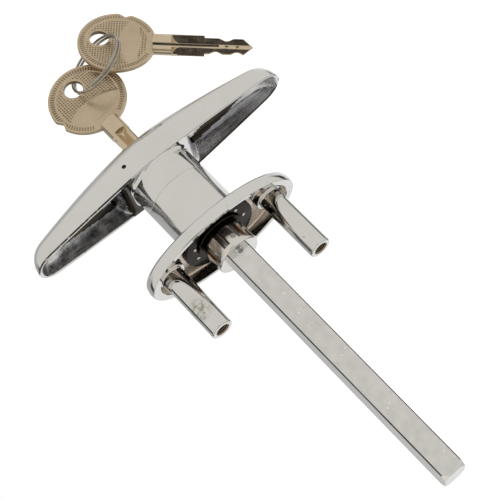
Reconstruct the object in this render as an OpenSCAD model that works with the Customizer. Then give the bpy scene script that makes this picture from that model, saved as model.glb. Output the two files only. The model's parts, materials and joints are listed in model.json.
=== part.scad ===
// Garage door T handle with a keyed cylinder, square spindle, oval back plate and two keys on a split ring.
// Millimetres. The origin is on the spindle axis in the plane of the back plate's rim.
// +Y runs along the spindle into the door, +Z runs up along the T bar.

/* [Back plate] */
// Height of the oval plate, along the T bar
plate_h = 60; // [54:1:70]
// Width of the oval plate
plate_w = 34; // [32:1:42]
// Depth of the plate's skirt
plate_depth = 5; // [4.6:0.2:8]
// Rise of the plate's front from the skirt to the collar
plate_crown = 1.2; // [0.6:0.1:2]
// Rounding of the plate's front edge
plate_round = 2; // [1:0.25:2.5]
// Width of the rim at the plate's sides
rim_side = 1.7; // [1.2:0.1:2]
// Width of the rim at the plate's ends
rim_end = 3.4; // [2.5:0.1:4]
// Depth of the hollow behind the plate
recess_depth = 4.1; // [3:0.1:4.3]
// Diameter of the collar and of the handle's neck
neck_d = 24; // [23:0.5:26]
// Plane where the collar meets the neck, in front of the rim
collar_reach = 23; // [20:0.5:24.5]

/* [Fixing posts] */
// Distance between the two posts
post_pitch = 41.5; // [39:0.5:43]
// Diameter of a post
post_d = 8; // [7:0.5:8.5]
// Reach of the posts behind the rim
post_reach = 23.75; // [16:0.25:35]
// Diameter of the foot of a post
post_foot_d = 10.4; // [9:0.2:10.8]
// Height of the foot above the floor of the hollow
post_foot_h = 2.4; // [1:0.2:3]
// Bore of the tapped hole
thread_d = 4.2; // [3.3:0.1:5]
// Depth of the tapped hole
thread_depth = 15; // [10:1:16]
// Chamfer at the mouth of the tapped hole
thread_mouth = 0.3; // [0.2:0.05:0.6]

/* [T bar] */
// Length of the T bar
bar_l = 104.8; // [90:1:120]
// Width of the T bar at its middle
bar_w = 24.4; // [24.2:0.2:28]
// Narrowing of each side of the bar towards its ends
bar_taper = 5.6; // [3:0.2:7]
// Height of the bar's front above its flat back at the middle
bar_front = 14.8; // [14:0.2:18]
// Fall of the bar's front towards its ends
bar_fall = 7; // [4:0.2:8]
// Length of the rounded tip at each end
bar_tip = 8.4; // [6:0.2:12]
// Flat back of the bar, in front of the rim
bar_reach = 33; // [32:0.5:38]
// Wall at the sides of the hollows in the bar's back
bar_wall = 1.3; // [1:0.1:2]
// Wall between the hollows and the bar's front
bar_skin = 2; // [1.4:0.1:3]
// Solid length between the neck's fillet and each hollow
pocket_gap = 0.4; // [0.3:0.1:2]
// Solid length left at each end of the bar
pocket_end_wall = 2.8; // [1.6:0.2:4]
// Rounding of the hollows' corners next to the neck
pocket_round = 2.6; // [1:0.2:4]
// Fillet between the neck and the bar's back
neck_fillet = 2; // [1:0.2:3]
// Turn of the bar from the length of the plate
bar_turn = 3; // [0:0.5:4]

/* [Handle shaft] */
// Diameter of the shaft that turns in the collar
journal_d = 18; // [17.6:0.2:18.8]
// Diameter of the chamber for the cam and the locking bolt
chamber_d = 14; // [13.6:0.1:14.4]
// Bottom of the cylinder's bore, in front of the collar
seat_lead = 2; // [1.4:0.1:2.6]
// Bottom of the hub's socket, in front of the rim
socket_seat = 12; // [11:0.2:13]
// Diameter of the hub's stem
stem_d = 14.4; // [14:0.1:15]

/* [Hub and spindle] */
// Diameter of the fluted hub
hub_d = 16; // [15.6:0.2:18]
// Reach of the hub behind the rim
hub_reach = 7.5; // [6:0.25:10]
// Number of flutes around the hub
flute_count = 8; // [6:1:10]
// Radius of a flute
flute_r = 1.3; // [1:0.1:1.6]
// Depth of a flute
flute_deep = 1.2; // [0.6:0.1:1.4]
// Turn of the lands between the flutes
flute_turn = -4; // [-20:1:20]
// Diameter of the hub's neck between its flange and the flutes
hub_neck_d = 14; // [13:0.2:14.8]
// Length of that neck
hub_neck_l = 1.3; // [0.8:0.1:1.6]
// Thickness of the plain disc at the end of the hub
hub_disc = 1.9; // [1.4:0.1:2.5]
// Rounding of the disc's edge
hub_round = 0.6; // [0.2:0.1:1]
// Diameter of the flange under the flutes
hub_flange_d = 18.4; // [17.6:0.2:20]
// Thickness of that flange
hub_flange_t = 0.9; // [0.6:0.1:1.4]
// Side of the square spindle
spindle_side = 8; // [7:0.5:8]
// Reach of the spindle behind the rim
spindle_reach = 107; // [60:1:150]
// Corner cut at the free end of the spindle
spindle_cut = 2.6; // [1:0.2:3]
// Slope of that corner cut
spindle_slope = 30; // [15:1:45]
// Foot of the spindle inside the hub, in front of the rim
spindle_foot = 9; // [7:0.5:10]
// Diameter of the cross pin through hub and spindle
cross_pin_d = 2.2; // [1.6:0.1:2.6]
// Place of the cross pin behind the rim
cross_pin_y = 4.2; // [3.6:0.1:4.4]
// Turn of the cross pin away from the plate's width
cross_pin_turn = -9; // [-20:1:20]

/* [Retaining washer] */
// Diameter of the washer behind the plate's floor
washer_d = 28; // [24:0.2:28.4]
// Thickness of the washer
washer_t = 1.2; // [0.8:0.1:1.4]
// Diameter of each pressed pip on the washer
pip_d = 1.6; // [1.2:0.1:2]
// Height of a pip
pip_h = 0.5; // [0.3:0.1:0.7]
// Clear distance from the hub's flange to the pips
pip_gap = 0.3; // [0.2:0.1:0.8]
// Angle between the two pips of a pair
pip_spread = 36; // [24:1:48]
// Turn of the first pair of pips
pip_turn_a = 113; // [90:1:130]
// Turn of the second pair of pips
pip_turn_b = 273; // [250:1:300]

/* [Lock cylinder] */
// Diameter of the cylinder body
cylinder_d = 18; // [17.4:0.2:18.4]
// Depth of the cylinder's face behind the highest point of the bar's front
cylinder_sunk = 3.2; // [2.8:0.1:4]
// Thickness of the lip that holds the plug
cylinder_lip = 1.2; // [0.8:0.1:1.6]
// Diameter of the opening in the lip
lip_d = 8.8; // [8.4:0.1:9.4]
// Diameter of the plug
plug_d = 11; // [10.6:0.1:11.6]
// Diameter of a tumbler pin
tumbler_d = 1.9; // [1.6:0.1:2.1]
// Rows of pins along the cylinder
tumbler_rows = 3; // [2:1:3]
// Distance between rows of pins
tumbler_pitch = 3.75; // [3.4:0.05:4]
// Length of a driver pin
driver_l = 2; // [1.4:0.1:2.2]
// Wall of a tumbler spring's coil, drawn as a sleeve
tumbler_spring_t = 0.3; // [0.2:0.05:0.4]
// Diameter of the pin that keeps the cylinder in the handle
keeper_d = 1.5; // [1.2:0.1:1.8]
// Height of that pin above the spindle axis
keeper_z = 9.45; // [9.3:0.05:9.6]
// Place of that pin in front of the bar's flat back
keeper_inset = 5.5; // [4:0.25:6]
// Diameter of the clip that keeps the plug in the cylinder
clip_d = 13; // [12.4:0.1:13.2]
// Thickness of the clip
clip_t = 0.8; // [0.6:0.1:1]
// Diameter of the groove that carries the clip
clip_groove_d = 8.6; // [8:0.1:9]

/* [Cam and locking bolt] */
// Throw of the locking bolt
bolt_throw = 1.9; // [1.4:0.1:2]
// Width of the bolt
bolt_w = 5; // [4:0.2:5.4]
// Thickness of the bolt along the spindle axis
bolt_t = 3.4; // [2.8:0.1:3.6]
// Diameter of the cam's crank pin
crank_d = 2.2; // [1.8:0.1:2.4]
// Diameter of the cam
cam_d = 9; // [8:0.2:10]
// Solid end of the cam under its crank pin
cam_web = 1.6; // [1:0.1:2]
// Distance from the collar's front to the bolt
bolt_cover = 4; // [3.2:0.1:4.6]
// Turn of the bolt's slide away from the length of the bar
bolt_turn = 90; // [0:90:270]
// Side of the square tail on the plug
tail_side = 4.4; // [3.6:0.1:4.6]

/* [Keys] */
// Diameter of a key's bow
bow_d = 27.6; // [26:0.2:29]
// Thickness of the bow
bow_t = 1.7; // [1.4:0.1:1.9]
// Diameter of the hole for the ring
bow_hole_d = 6.8; // [6.4:0.1:7.2]
// Place of that hole behind the middle of the bow
bow_hole_y = 6.3; // [6:0.1:7]
// Place of that hole to the side of the bow
bow_hole_z = 1.3; // [0:0.1:1.6]
// Width of the ribbed border of the bow
bow_border = 2.5; // [2:0.1:3]
// Depth of the field inside the border
bow_field = 0.15; // [0.1:0.05:0.25]
// Radius of the arc where the field meets the plain panel
bow_panel_r = 17.2; // [15:0.2:20]
// Place of that arc in front of the middle of the bow
bow_panel_y = 1; // [0:0.1:2]
// Place of the arc's middle to the side of the bow
bow_panel_z = 0.3; // [-1:0.1:1]
// Diameter of the key's shank
shank_d = 7.5; // [7:0.1:7.8]
// Length of the shank from the bow
shank_l = 8.2; // [7.6:0.1:9]
// Step of the fins from the bow
fin_step = 16.9; // [16.6:0.1:18]
// Length of the blade from the bow
blade_l = 34.1; // [32:0.1:34.6]
// Diameter over the fins before the step
fin_wide_d = 7.4; // [7:0.1:7.6]
// Diameter over the fins after the step
fin_d = 5.8; // [5.4:0.1:6]
// Thickness of a fin
fin_t = 1.4; // [1:0.1:1.6]
// Length of the pointed end of the fins
fin_point = 3.6; // [3:0.1:4]
// Depth of the cuts in the fins
cut_deep = 0.85; // [0.5:0.05:1]
// Length of the floor of a cut
cut_floor = 1.2; // [0.8:0.1:1.6]
// Length of each slope of a cut
cut_slope = 1.9; // [1.4:0.1:2.2]
// Radius of the cutter that leaves the run-outs
cutter_r = 3; // [2.8:0.1:3.4]
// Overlap of the shank on the bow
shank_lap = 1.4; // [1:0.1:2]
// Width of the bow's tongue in the shank
tongue_w = 5; // [4:0.1:5.4]
// Length of the tongue
tongue_l = 4.2; // [3:0.1:4.4]
// Depth of the notch in the edge of the bow
bow_notch_deep = 1.45; // [0.8:0.05:1.8]
// Turn of the notch's deepest point from the blade
bow_notch_turn = 79; // [70:1:90]
// Turn from that point to the notch's steep end
bow_notch_steep = 8; // [6:0.5:10]
// Turn from that point to the notch's long end
bow_notch_long = 11.5; // [10:0.5:16]

/* [Key ring] */
// Diameter of the ring at the middle of its wire
ring_d = 23.4; // [22:0.2:24]
// Diameter of the wire
wire_d = 0.75; // [0.6:0.05:0.8]
// Clear gap between the two turns
wire_gap = 0.45; // [0.42:0.01:0.6]
// Turns of wire in the ring
ring_turns = 1.87; // [1.6:0.01:1.95]

/* [Hang of the loose pieces] */
// Place of the first key around the ring
ring_first = 170; // [165:1:175]
// Distance of the first hole's middle outside the wire's circle
first_out = 0.3; // [0:0.1:0.4]
// Distance of the first hole's middle along the ring's axis
first_along = 0.2; // [0:0.1:0.3]
// Place of the second key around the ring
ring_second = 45; // [40:1:50]
// Distance of the second hole's middle outside the wire's circle
second_out = -0.1; // [-0.2:0.1:0.2]
// Distance of the second hole's middle along the ring's axis
second_along = 0.5; // [0.2:0.1:0.6]
// Place of the wire's first end around the ring
wire_start = 228; // [220:1:236]
// Tilt of the ring about X
ring_tilt = -1.6; // [-3:0.2:0]
// Tilt of the ring about Y
ring_lean = 70.4; // [69:0.2:72]
// Turn of the ring about Z
ring_yaw = 214; // [213:0.2:216]
// Tilt of the second key about X
second_tilt = -130.3; // [-133:0.1:-128]
// Tilt of the second key about Y
second_lean = 13.6; // [12:0.1:15]
// Turn of the second key about Z
second_yaw = 183.1; // [181:0.1:185]

/* [Fits] */
// Radial clearance of a shaft that turns or slides
running = 0.05; // [0.03:0.01:0.08]
// Clearance of pieces that are fixed together
seated = 0.02; // [0.01:0.01:0.04]
// Clearance round pieces that pass loosely
loose = 0.3; // [0.2:0.05:0.4]
// End float of pieces that turn between two faces
end_float = 0.2; // [0.1:0.05:0.3]

/* [Hidden] */

$fn = 72;
oval_sides = 72;
section_steps = 28;
bar_slices = 11;
slice_t = 0.02;
past = 1;

bar_power_w = 1.3;
bar_power_h = 1.5;
bar_section_power = 2.6;
tip_power = 3;

// Which of the tumbler rows are cut in each of the key's four fins
fin_cuts = [[0, 1, 1], [1, 0, 1], [1, 1, 0], [0, 1, 0]];

floor_y = -recess_depth;
journal_end = floor_y + end_float;
washer_rear = journal_end + washer_t;
hub_foot = washer_rear + seated;
pip_reach = hub_flange_d / 2 + pip_gap + pip_d / 2;

cylinder_face = bar_reach + bar_front - cylinder_sunk;
cylinder_seat = collar_reach + seat_lead;
keeper_reach = bar_reach + keeper_inset;
pocket_start = neck_d / 2 + neck_fillet + pocket_gap;
plug_face = -cylinder_face + cylinder_lip + running;
shear_r = plug_d / 2 + running / 2;
fin_turn = 45;
fin_root = fin_t / sqrt(2);
driver_from = shear_r + 2 * running;
tumbler_first = plug_face + tumbler_pitch;
key_stop = plug_face - end_float;
keyway_end = key_stop + blade_l - fin_step + end_float;

clip_front = -cylinder_seat + end_float;
cam_front = clip_front + clip_t + end_float;
bolt_front = -collar_reach + bolt_cover;
bolt_rear = bolt_front + bolt_t;
cam_rear = bolt_front - running;
bolt_reach = sqrt(pow(journal_d / 2 - running, 2) - pow(bolt_w / 2, 2)) - running;
notch_r = sqrt(pow(bolt_reach + bolt_throw, 2) + pow(bolt_w / 2, 2)) + loose;

// A vector turned about X, then Y, then Z
function turned_vector(a, v) =
    let (x = [v.x, v.y * cos(a.x) - v.z * sin(a.x), v.y * sin(a.x) + v.z * cos(a.x)],
         y = [x.x * cos(a.y) + x.z * sin(a.y), x.y, x.z * cos(a.y) - x.x * sin(a.y)])
    [y.x * cos(a.z) - y.y * sin(a.z), y.x * sin(a.z) + y.y * cos(a.z), y.z];

// The ring passes through both bow holes, and the second key hangs on it
ring_turn = [ring_tilt, ring_lean, ring_yaw];
second_turn = [second_tilt, second_lean, second_yaw];
bow_hole = [0, -bow_hole_y, bow_hole_z];
first_at = [0, key_stop - fin_step - bow_d / 2, 0];
function by_ring(turn, out, along) =
    let (r = ring_d / 2 + out) turned_vector(ring_turn, [r * cos(turn), r * sin(turn), along]);
ring_at = first_at + bow_hole - by_ring(ring_first, first_out, first_along);
second_at = ring_at + by_ring(ring_second, second_out, second_along) - turned_vector(second_turn, bow_hole);

// A round bar along the spindle axis from y0 to y1
module rod(y0, y1, d) {
    translate([0, y0, 0]) rotate([-90, 0, 0]) cylinder(h = y1 - y0, d = d);
}

// A turned shape: the profile is drawn as radius and place along the spindle axis
module turned(points) {
    rotate([-90, 0, 0]) rotate_extrude() polygon(points);
}

// A round bar across the spindle axis, at a turn about it, from radius r0 to r1
module spoke(y, turn, r0, r1, d) {
    translate([0, y, 0]) rotate([0, turn, 0]) rotate([0, 90, 0]) translate([0, 0, r0])
        cylinder(h = r1 - r0, d = d, $fn = 24);
}

// A square bar along the spindle axis
module square_bar(y0, y1, side) {
    translate([-side / 2, y0, -side / 2]) cube([side, y1 - y0, side]);
}

// A flat shape in the plane of the spindle and the T bar, of thickness t about that plane
module leaf(t) {
    rotate([90, 0, 90]) translate([0, 0, -t / 2]) linear_extrude(t) children();
}

// Outline of an oval of half width a and half height b
function oval_points(a, b) =
    [for (i = [0 : oval_sides - 1]) [a * cos(360 * i / oval_sides), b * sin(360 * i / oval_sides)]];

module oval_slab(y0, y1, inset) {
    translate([0, y0, 0]) rotate([-90, 0, 0]) linear_extrude(y1 - y0)
        polygon(oval_points(plate_w / 2 - inset, plate_h / 2 - inset));
}

// Oval plate with its rounded skirt and crowned front
module plate_shell() {
    straight = plate_depth - plate_round;
    oval_slab(-straight, 0, 0);
    hull() {
        oval_slab(-straight - slice_t, -straight, 0);
        for (a = [30, 60, 90])
            oval_slab(-straight - plate_round * sin(a), -straight, plate_round * (1 - cos(a)));
        rod(-plate_depth - plate_crown, -straight, neck_d);
    }
}

module plate_hollow() {
    translate([0, floor_y, 0]) rotate([-90, 0, 0]) linear_extrude(recess_depth + past)
        polygon(oval_points(plate_w / 2 - rim_side, plate_h / 2 - rim_end));
}

module post(z) {
    translate([0, 0, z]) {
        rod(floor_y - slice_t, floor_y + post_foot_h, post_foot_d);
        rod(floor_y, post_reach, post_d);
    }
}

module back_plate() {
    color("silver")
    difference() {
        union() {
            difference() {
                plate_shell();
                plate_hollow();
            }
            rod(-collar_reach, floor_y, neck_d);
            for (side = [-1, 1]) post(side * post_pitch / 2);
        }
        rod(-collar_reach - past, floor_y + past, journal_d + 2 * running);
        for (side = [-1, 1])
            translate([0, 0, side * post_pitch / 2])
                rod(post_reach - thread_depth, post_reach + past, thread_d);
        for (side = [-1, 1])
            translate([0, 0, side * post_pitch / 2])
                turned([[0, post_reach - thread_mouth - thread_d / 2],
                        [thread_d / 2 + thread_mouth, post_reach],
                        [thread_d / 2 + thread_mouth, post_reach + past], [0, post_reach + past]]);
        for (turn = [0, 90])
            rotate([0, bolt_turn + turn, 0])
                translate([-bolt_w / 2 - loose, bolt_front - loose, -notch_r])
                    cube([bolt_w + 2 * loose, bolt_t + 2 * loose, notch_r]);
    }
}

// Half width and front height of the T bar at a distance z from its middle
function tip_share(z) = sqrt(1 - pow(max(0, (abs(z) - bar_l / 2 + bar_tip) / bar_tip), tip_power));
function bar_run(z) = abs(z) / (bar_l / 2 - bar_tip / 2);
function bar_half_w(z) = (bar_w / 2 - bar_taper * pow(bar_run(z), bar_power_w)) * tip_share(z);
function bar_height(z) = (bar_front - bar_fall * pow(bar_run(z), bar_power_h)) * tip_share(z);

// Section across the bar: a crowned front over a flat back, drawn out behind the back by skirt
function bar_section(half_w, height, skirt) = concat(
    [for (i = [0 : section_steps])
        let (a = 180 * i / section_steps, c = cos(a), s = sin(a), p = 2 / bar_section_power)
        [half_w * sign(c) * pow(abs(c), p), -height * pow(abs(s), p)]],
    skirt > 0 ? [[-half_w, skirt], [half_w, skirt]] : []);

module bar_loft(z0, z1, side_wall, front_wall, skirt) {
    middle = (z0 + z1) / 2;
    half = (z1 - z0) / 2;
    hull()
    for (i = [-bar_slices : bar_slices]) {
        z = middle + (half - slice_t) * sin(90 * i / bar_slices);
        translate([0, -bar_reach, z]) linear_extrude(slice_t)
            polygon(bar_section(bar_half_w(z) - side_wall, bar_height(z) - front_wall, skirt));
    }
}

// Ring-shaped fillet where the neck leaves the flat back of the bar
module neck_blend() {
    r = neck_d / 2;
    intersection() {
        difference() {
            rod(-bar_reach - past / 2, -bar_reach + neck_fillet, neck_d + 2 * neck_fillet);
            rotate([-90, 0, 0]) rotate_extrude()
                translate([r + neck_fillet, -bar_reach + neck_fillet]) circle(neck_fillet);
        }
        translate([-neck_d / 2, -bar_reach - past, -bar_l / 2])
            cube([neck_d, neck_fillet + 2 * past, bar_l]);
    }
}

// Hollow in the back of the upper wing, with rounded corners next to the neck
module pocket() {
    pocket_end = bar_l / 2 - pocket_end_wall;
    w = bar_half_w(pocket_start);
    r = pocket_round;
    corner = w - bar_wall - r + past / 2;
    intersection() {
        bar_loft(pocket_start - pocket_gap / 2, pocket_end, bar_wall, bar_skin, past);
        translate([0, -bar_reach - bar_front, 0]) rotate([90, 0, 0]) mirror([0, 0, 1])
            linear_extrude(bar_front + 2 * past) {
                for (side = [-1, 1])
                    translate([side * corner, pocket_start + r]) circle(r);
                translate([-corner, pocket_start]) square([2 * corner, bar_l]);
                translate([-w, pocket_start + r]) square([2 * w, bar_l]);
            }
    }
}

module t_handle() {
    color("lightgray")
    difference() {
        rotate([0, bar_turn, 0]) union() {
            difference() {
                bar_loft(-bar_l / 2, bar_l / 2, 0, 0, 0);
                for (turn = [0, 180])
                    rotate([0, turn, 0]) pocket();
            }
            neck_blend();
            rod(-bar_reach - past, -collar_reach - seated, neck_d);
            rod(-bar_reach - past, journal_end, journal_d);
        }
        rod(-bar_reach - bar_front - past, -cylinder_seat, cylinder_d + 2 * seated);
        rod(-cylinder_seat - past, -socket_seat + past, chamber_d);
        rod(-socket_seat, journal_end + past, stem_d + 2 * seated);
        rotate([0, bolt_turn, 0]) translate([-bolt_w / 2 - running, bolt_front - running, -journal_d])
            cube([bolt_w + 2 * running, bolt_t + 2 * running, journal_d]);
        keeper_bore();
    }
}

module drive_hub() {
    flute_end = hub_reach - hub_disc;
    drum_foot = hub_foot + hub_flange_t + hub_neck_l;
    color("gainsboro")
    difference() {
        union() {
            rod(-socket_seat + seated, hub_foot, stem_d);
            rod(hub_foot, hub_foot + hub_flange_t, hub_flange_d);
            rod(hub_foot, drum_foot, hub_neck_d);
            turned([[0, drum_foot], [hub_d / 2, drum_foot], [hub_d / 2, hub_reach - hub_round],
                    [hub_d / 2 - hub_round, hub_reach], [0, hub_reach]]);
        }
        for (i = [0 : flute_count - 1])
            rotate([0, flute_turn + 360 * (i + 0.5) / flute_count, 0])
                translate([hub_d / 2 - flute_deep + flute_r, 0, 0])
                    rod(drum_foot - past / 2, flute_end, 2 * flute_r);
        square_bar(-spindle_foot - seated, hub_reach + past, spindle_side + 2 * seated);
        spoke(cross_pin_y, cross_pin_turn, -hub_d, hub_d, cross_pin_d + 2 * seated);
    }
}

module spindle() {
    corner = spindle_side / sqrt(2);
    color("silver")
    difference() {
        square_bar(-spindle_foot, spindle_reach, spindle_side);
        for (i = [0 : 3])
            rotate([0, 45 + 90 * i, 0]) translate([corner - spindle_cut / 2, spindle_reach, 0])
                rotate([0, 0, spindle_slope]) translate([0, -spindle_side, -spindle_side])
                    cube([spindle_side, 2 * spindle_side, 2 * spindle_side]);
        spoke(cross_pin_y, cross_pin_turn, -hub_d, hub_d, cross_pin_d + 2 * seated);
    }
}

module cross_pin() {
    reach = hub_d / 2 - 2 * seated;
    color("darkgray") spoke(cross_pin_y, cross_pin_turn, -reach, reach, cross_pin_d);
}

// Black washer that keeps the handle in the plate, with two pairs of pressed pips
module retaining_washer() {
    pip_ball = (pow(pip_d / 2, 2) + pow(pip_h, 2)) / (2 * pip_h);
    color([0.08, 0.08, 0.08])
    difference() {
        union() {
            rod(journal_end, washer_rear, washer_d);
            for (pair = [pip_turn_a, pip_turn_b], side = [-0.5, 0.5])
                rotate([0, pair + side * pip_spread, 0]) translate([pip_reach, washer_rear, 0])
                    intersection() {
                        translate([0, pip_h - pip_ball, 0]) sphere(pip_ball, $fn = 32);
                        rod(-washer_t / 2, pip_h + past, pip_d);
                    }
        }
        rod(journal_end - past, washer_rear + past, stem_d + 2 * seated);
    }
}

// Places of the tumblers: rows along the plug, in the four planes of the key's fins
module each_tumbler() {
    for (row = [0 : tumbler_rows - 1], fin = [0 : 3]) {
        $tumbler_y = tumbler_first + row * tumbler_pitch;
        $tumbler_turn = fin_turn + 90 * fin;
        children();
    }
}

module tumbler_bore(r0, r1) {
    each_tumbler() spoke($tumbler_y, $tumbler_turn, r0, r1, tumbler_d + 2 * running);
}

module keeper_bore() {
    translate([-bar_w, -keeper_reach, keeper_z]) rotate([0, 90, 0])
        cylinder(h = 2 * bar_w, d = keeper_d + 2 * seated, $fn = 24);
}

module cylinder_body() {
    color("goldenrod")
    difference() {
        rod(-cylinder_face, -cylinder_seat - seated, cylinder_d);
        rod(-cylinder_face - past, -cylinder_seat, lip_d);
        rod(-cylinder_face + cylinder_lip, -cylinder_seat + past, plug_d + 2 * running);
        tumbler_bore(0, cylinder_d);
        keeper_bore();
    }
}

module keyway() {
    slot = fin_t + loose;
    intersection() {
        rod(plug_face - past, keyway_end, fin_d + loose);
        for (turn = [fin_turn, -fin_turn])
            rotate([0, turn, 0]) translate([-plug_d, plug_face - past, -slot / 2])
                cube([2 * plug_d, keyway_end - plug_face + past, slot]);
    }
}

module lock_plug() {
    color("gold")
    difference() {
        union() {
            rod(plug_face, clip_front - seated, plug_d);
            rod(clip_front - seated, clip_front + clip_t + seated, clip_groove_d);
            square_bar(clip_front, cam_rear - cam_web - seated, tail_side);
        }
        keyway();
        tumbler_bore(0, plug_d);
    }
}

module key_pins() {
    color("khaki") each_tumbler()
        spoke($tumbler_y, $tumbler_turn, fin_d / 2 + loose, plug_d / 2 - running, tumbler_d);
}

module driver_pins() {
    color("tan") each_tumbler()
        spoke($tumbler_y, $tumbler_turn, driver_from, driver_from + driver_l, tumbler_d);
}

module tumbler_springs() {
    from = driver_from + driver_l + running;
    to = cylinder_d / 2 - seated;
    color("gray") each_tumbler()
        difference() {
            spoke($tumbler_y, $tumbler_turn, from, to, tumbler_d);
            spoke($tumbler_y, $tumbler_turn, from - past, to + past, tumbler_d - 2 * tumbler_spring_t);
        }
}

module keeper_pin() {
    reach = bar_half_w(keeper_z) - bar_wall;
    color("dimgray")
    translate([-reach, -keeper_reach, keeper_z]) rotate([0, 90, 0])
        cylinder(h = 2 * reach, d = keeper_d, $fn = 24);
}

module plug_clip() {
    color("gray")
    difference() {
        rod(clip_front, clip_front + clip_t, clip_d);
        rod(clip_front - past, clip_front + clip_t + past, clip_groove_d + 2 * seated);
        translate([-tail_side / 2, clip_front - past, 0]) cube([tail_side, clip_t + 2 * past, clip_d]);
    }
}

module lock_cam() {
    color("darkkhaki")
    difference() {
        union() {
            rod(cam_front, cam_rear, cam_d);
            rotate([0, bolt_turn, 0]) translate([bolt_throw, 0, 0]) rod(cam_front, bolt_rear, crank_d);
        }
        square_bar(cam_front - past, cam_rear - cam_web, tail_side + 2 * seated);
    }
}

module locking_bolt() {
    inner_end = sqrt(pow(chamber_d / 2 - running, 2) - pow(bolt_w / 2, 2)) - loose;
    slot_w = crank_d + 2 * loose;
    slot_h = crank_d + 4 * loose;
    color("slategray")
    rotate([0, bolt_turn, 0])
    difference() {
        translate([-bolt_w / 2, bolt_front, -bolt_reach]) cube([bolt_w, bolt_t, bolt_reach + inner_end]);
        translate([-slot_w / 2, bolt_front - past, -slot_h / 2])
            cube([bolt_w, bolt_t + 2 * past, slot_h]);
    }
}

// Three-cornered notch in the edge of the bow, with one steep and one long flank
module bow_notch() {
    r = bow_d / 2;
    outer = r + past;
    steep = bow_notch_turn - bow_notch_steep;
    long = bow_notch_turn + bow_notch_long;
    polygon([(r - bow_notch_deep) * [cos(bow_notch_turn), sin(bow_notch_turn)], r * [cos(steep), sin(steep)],
             outer * [cos(steep), sin(steep)], outer * [cos(long), sin(long)], r * [cos(long), sin(long)]]);
}

// A key lies with its blade along +Y, its bow in the plane of Y and Z and its middle at the origin
module key_bow() {
    field_r = bow_d / 2 - bow_border;
    difference() {
        union() {
            leaf(bow_t) difference() {
                circle(d = bow_d);
                bow_notch();
            }
            leaf(bow_t) translate([0, -tongue_w / 2]) square([bow_d / 2 + tongue_l, tongue_w]);
        }
        for (face = [-1, 1])
            translate([face * bow_t / 2, 0, 0]) leaf(2 * bow_field) difference() {
                circle(field_r);
                translate([bow_panel_y + bow_panel_r, bow_panel_z]) circle(bow_panel_r);
            }
        leaf(bow_t + 2 * past) translate([-bow_hole_y, bow_hole_z]) circle(d = bow_hole_d);
    }
}

// Radius and place of the points along a fin's edge: the shank, the step and the point
function fin_profile(y0) =
    let (r = fin_d / 2, step_y = bow_d / 2 + fin_step, shank_end = bow_d / 2 + shank_l,
         tip_y = bow_d / 2 + blade_l)
    [[0, y0], [shank_d / 2, y0], [shank_d / 2, shank_end - cutter_r / 2], [fin_wide_d / 2, shank_end],
     [fin_wide_d / 2, step_y], [r, step_y], [r, tip_y - fin_point], [0, tip_y]];

// One cut in the edge of a fin, where a row of tumblers meets it
module fin_cut(fin, row) {
    y = bow_d / 2 + fin_step + tumbler_first - key_stop + row * tumbler_pitch;
    floor_r = fin_d / 2 - cut_deep;
    open_r = fin_d / 2 + past;
    half = cut_floor / 2;
    wide = half + cut_slope * (open_r - floor_r) / cut_deep;
    rotate([0, fin_turn + 90 * fin, 0]) translate([0, 0, -fin_t]) linear_extrude(2 * fin_t)
        polygon([[floor_r, y - half], [open_r, y - wide], [open_r, y + wide], [floor_r, y + half]]);
}

// One of the four milled valleys between the fins, with its concave run-out into the shank
module valley() {
    deep = shank_d;
    mill_y = bow_d / 2 + shank_l;
    intersection() {
        rotate([-90, 0, 0]) linear_extrude(bow_d + blade_l)
            polygon([[fin_root, 0], [fin_root + deep, deep], [fin_root + deep, -deep]]);
        union() {
            translate([0, mill_y, -deep]) cube([2 * deep, blade_l, 2 * deep]);
            translate([fin_root + cutter_r, mill_y, 0]) cylinder(h = 2 * deep, r = cutter_r, center = true);
        }
    }
}

module key_blade() {
    shank_y = bow_d / 2 - shank_lap;
    slot = bow_t + 2 * seated;
    difference() {
        turned(fin_profile(shank_y));
        for (turn = [0 : 90 : 270])
            rotate([0, turn, 0]) valley();
        for (fin = [0 : len(fin_cuts) - 1], row = [0 : tumbler_rows - 1])
            if (fin_cuts[fin][row] > 0) fin_cut(fin, row);
        translate([-slot / 2, shank_y - past, -shank_d])
            cube([slot, past + shank_lap + seated, 2 * shank_d]);
        translate([-slot / 2, shank_y, -tongue_w / 2 - seated])
            cube([slot, shank_lap + tongue_l + seated, tongue_w + 2 * seated]);
    }
}

module key_1_bow() {
    color([0.70, 0.63, 0.50]) translate(first_at) key_bow();
}

module key_1_blade() {
    color([0.74, 0.68, 0.55]) translate(first_at) key_blade();
}

module key_2_bow() {
    color([0.70, 0.63, 0.50]) translate(second_at) rotate(second_turn) key_bow();
}

module key_2_blade() {
    color([0.74, 0.68, 0.55]) translate(second_at) rotate(second_turn) key_blade();
}

// Split ring: one unbroken wire wound in a flat helix
wire_sides = 6;
loop_rings = 24;
ring_pitch = wire_d + wire_gap;
ring_count = round(ring_turns * loop_rings);
function wire_turn(i) = wire_start + 360 * i / loop_rings;
function wire_rise(i) = ring_pitch * (ring_turns / 2 - i / loop_rings);
function wire_centre(i) = [ring_d / 2 * cos(wire_turn(i)), ring_d / 2 * sin(wire_turn(i)), wire_rise(i)];
function wire_point(i, k) =
    let (a = 360 * k / wire_sides, r = ring_d / 2 + wire_d / 2 * cos(a))
    [r * cos(wire_turn(i)), r * sin(wire_turn(i)), wire_rise(i) + wire_d / 2 * sin(a)];
wire_points = [for (i = [0 : ring_count], k = [0 : wire_sides - 1]) wire_point(i, k)];
wire_faces = concat(
    [for (i = [0 : ring_count - 1], k = [0 : wire_sides - 1])
        let (a = i * wire_sides + k, b = i * wire_sides + (k + 1) % wire_sides)
        each [[a, a + wire_sides, b], [b, a + wire_sides, b + wire_sides]]],
    [for (k = [1 : wire_sides - 2]) [0, k, k + 1]],
    [for (k = [1 : wire_sides - 2]) let (o = ring_count * wire_sides) [o, o + k + 1, o + k]]);
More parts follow.
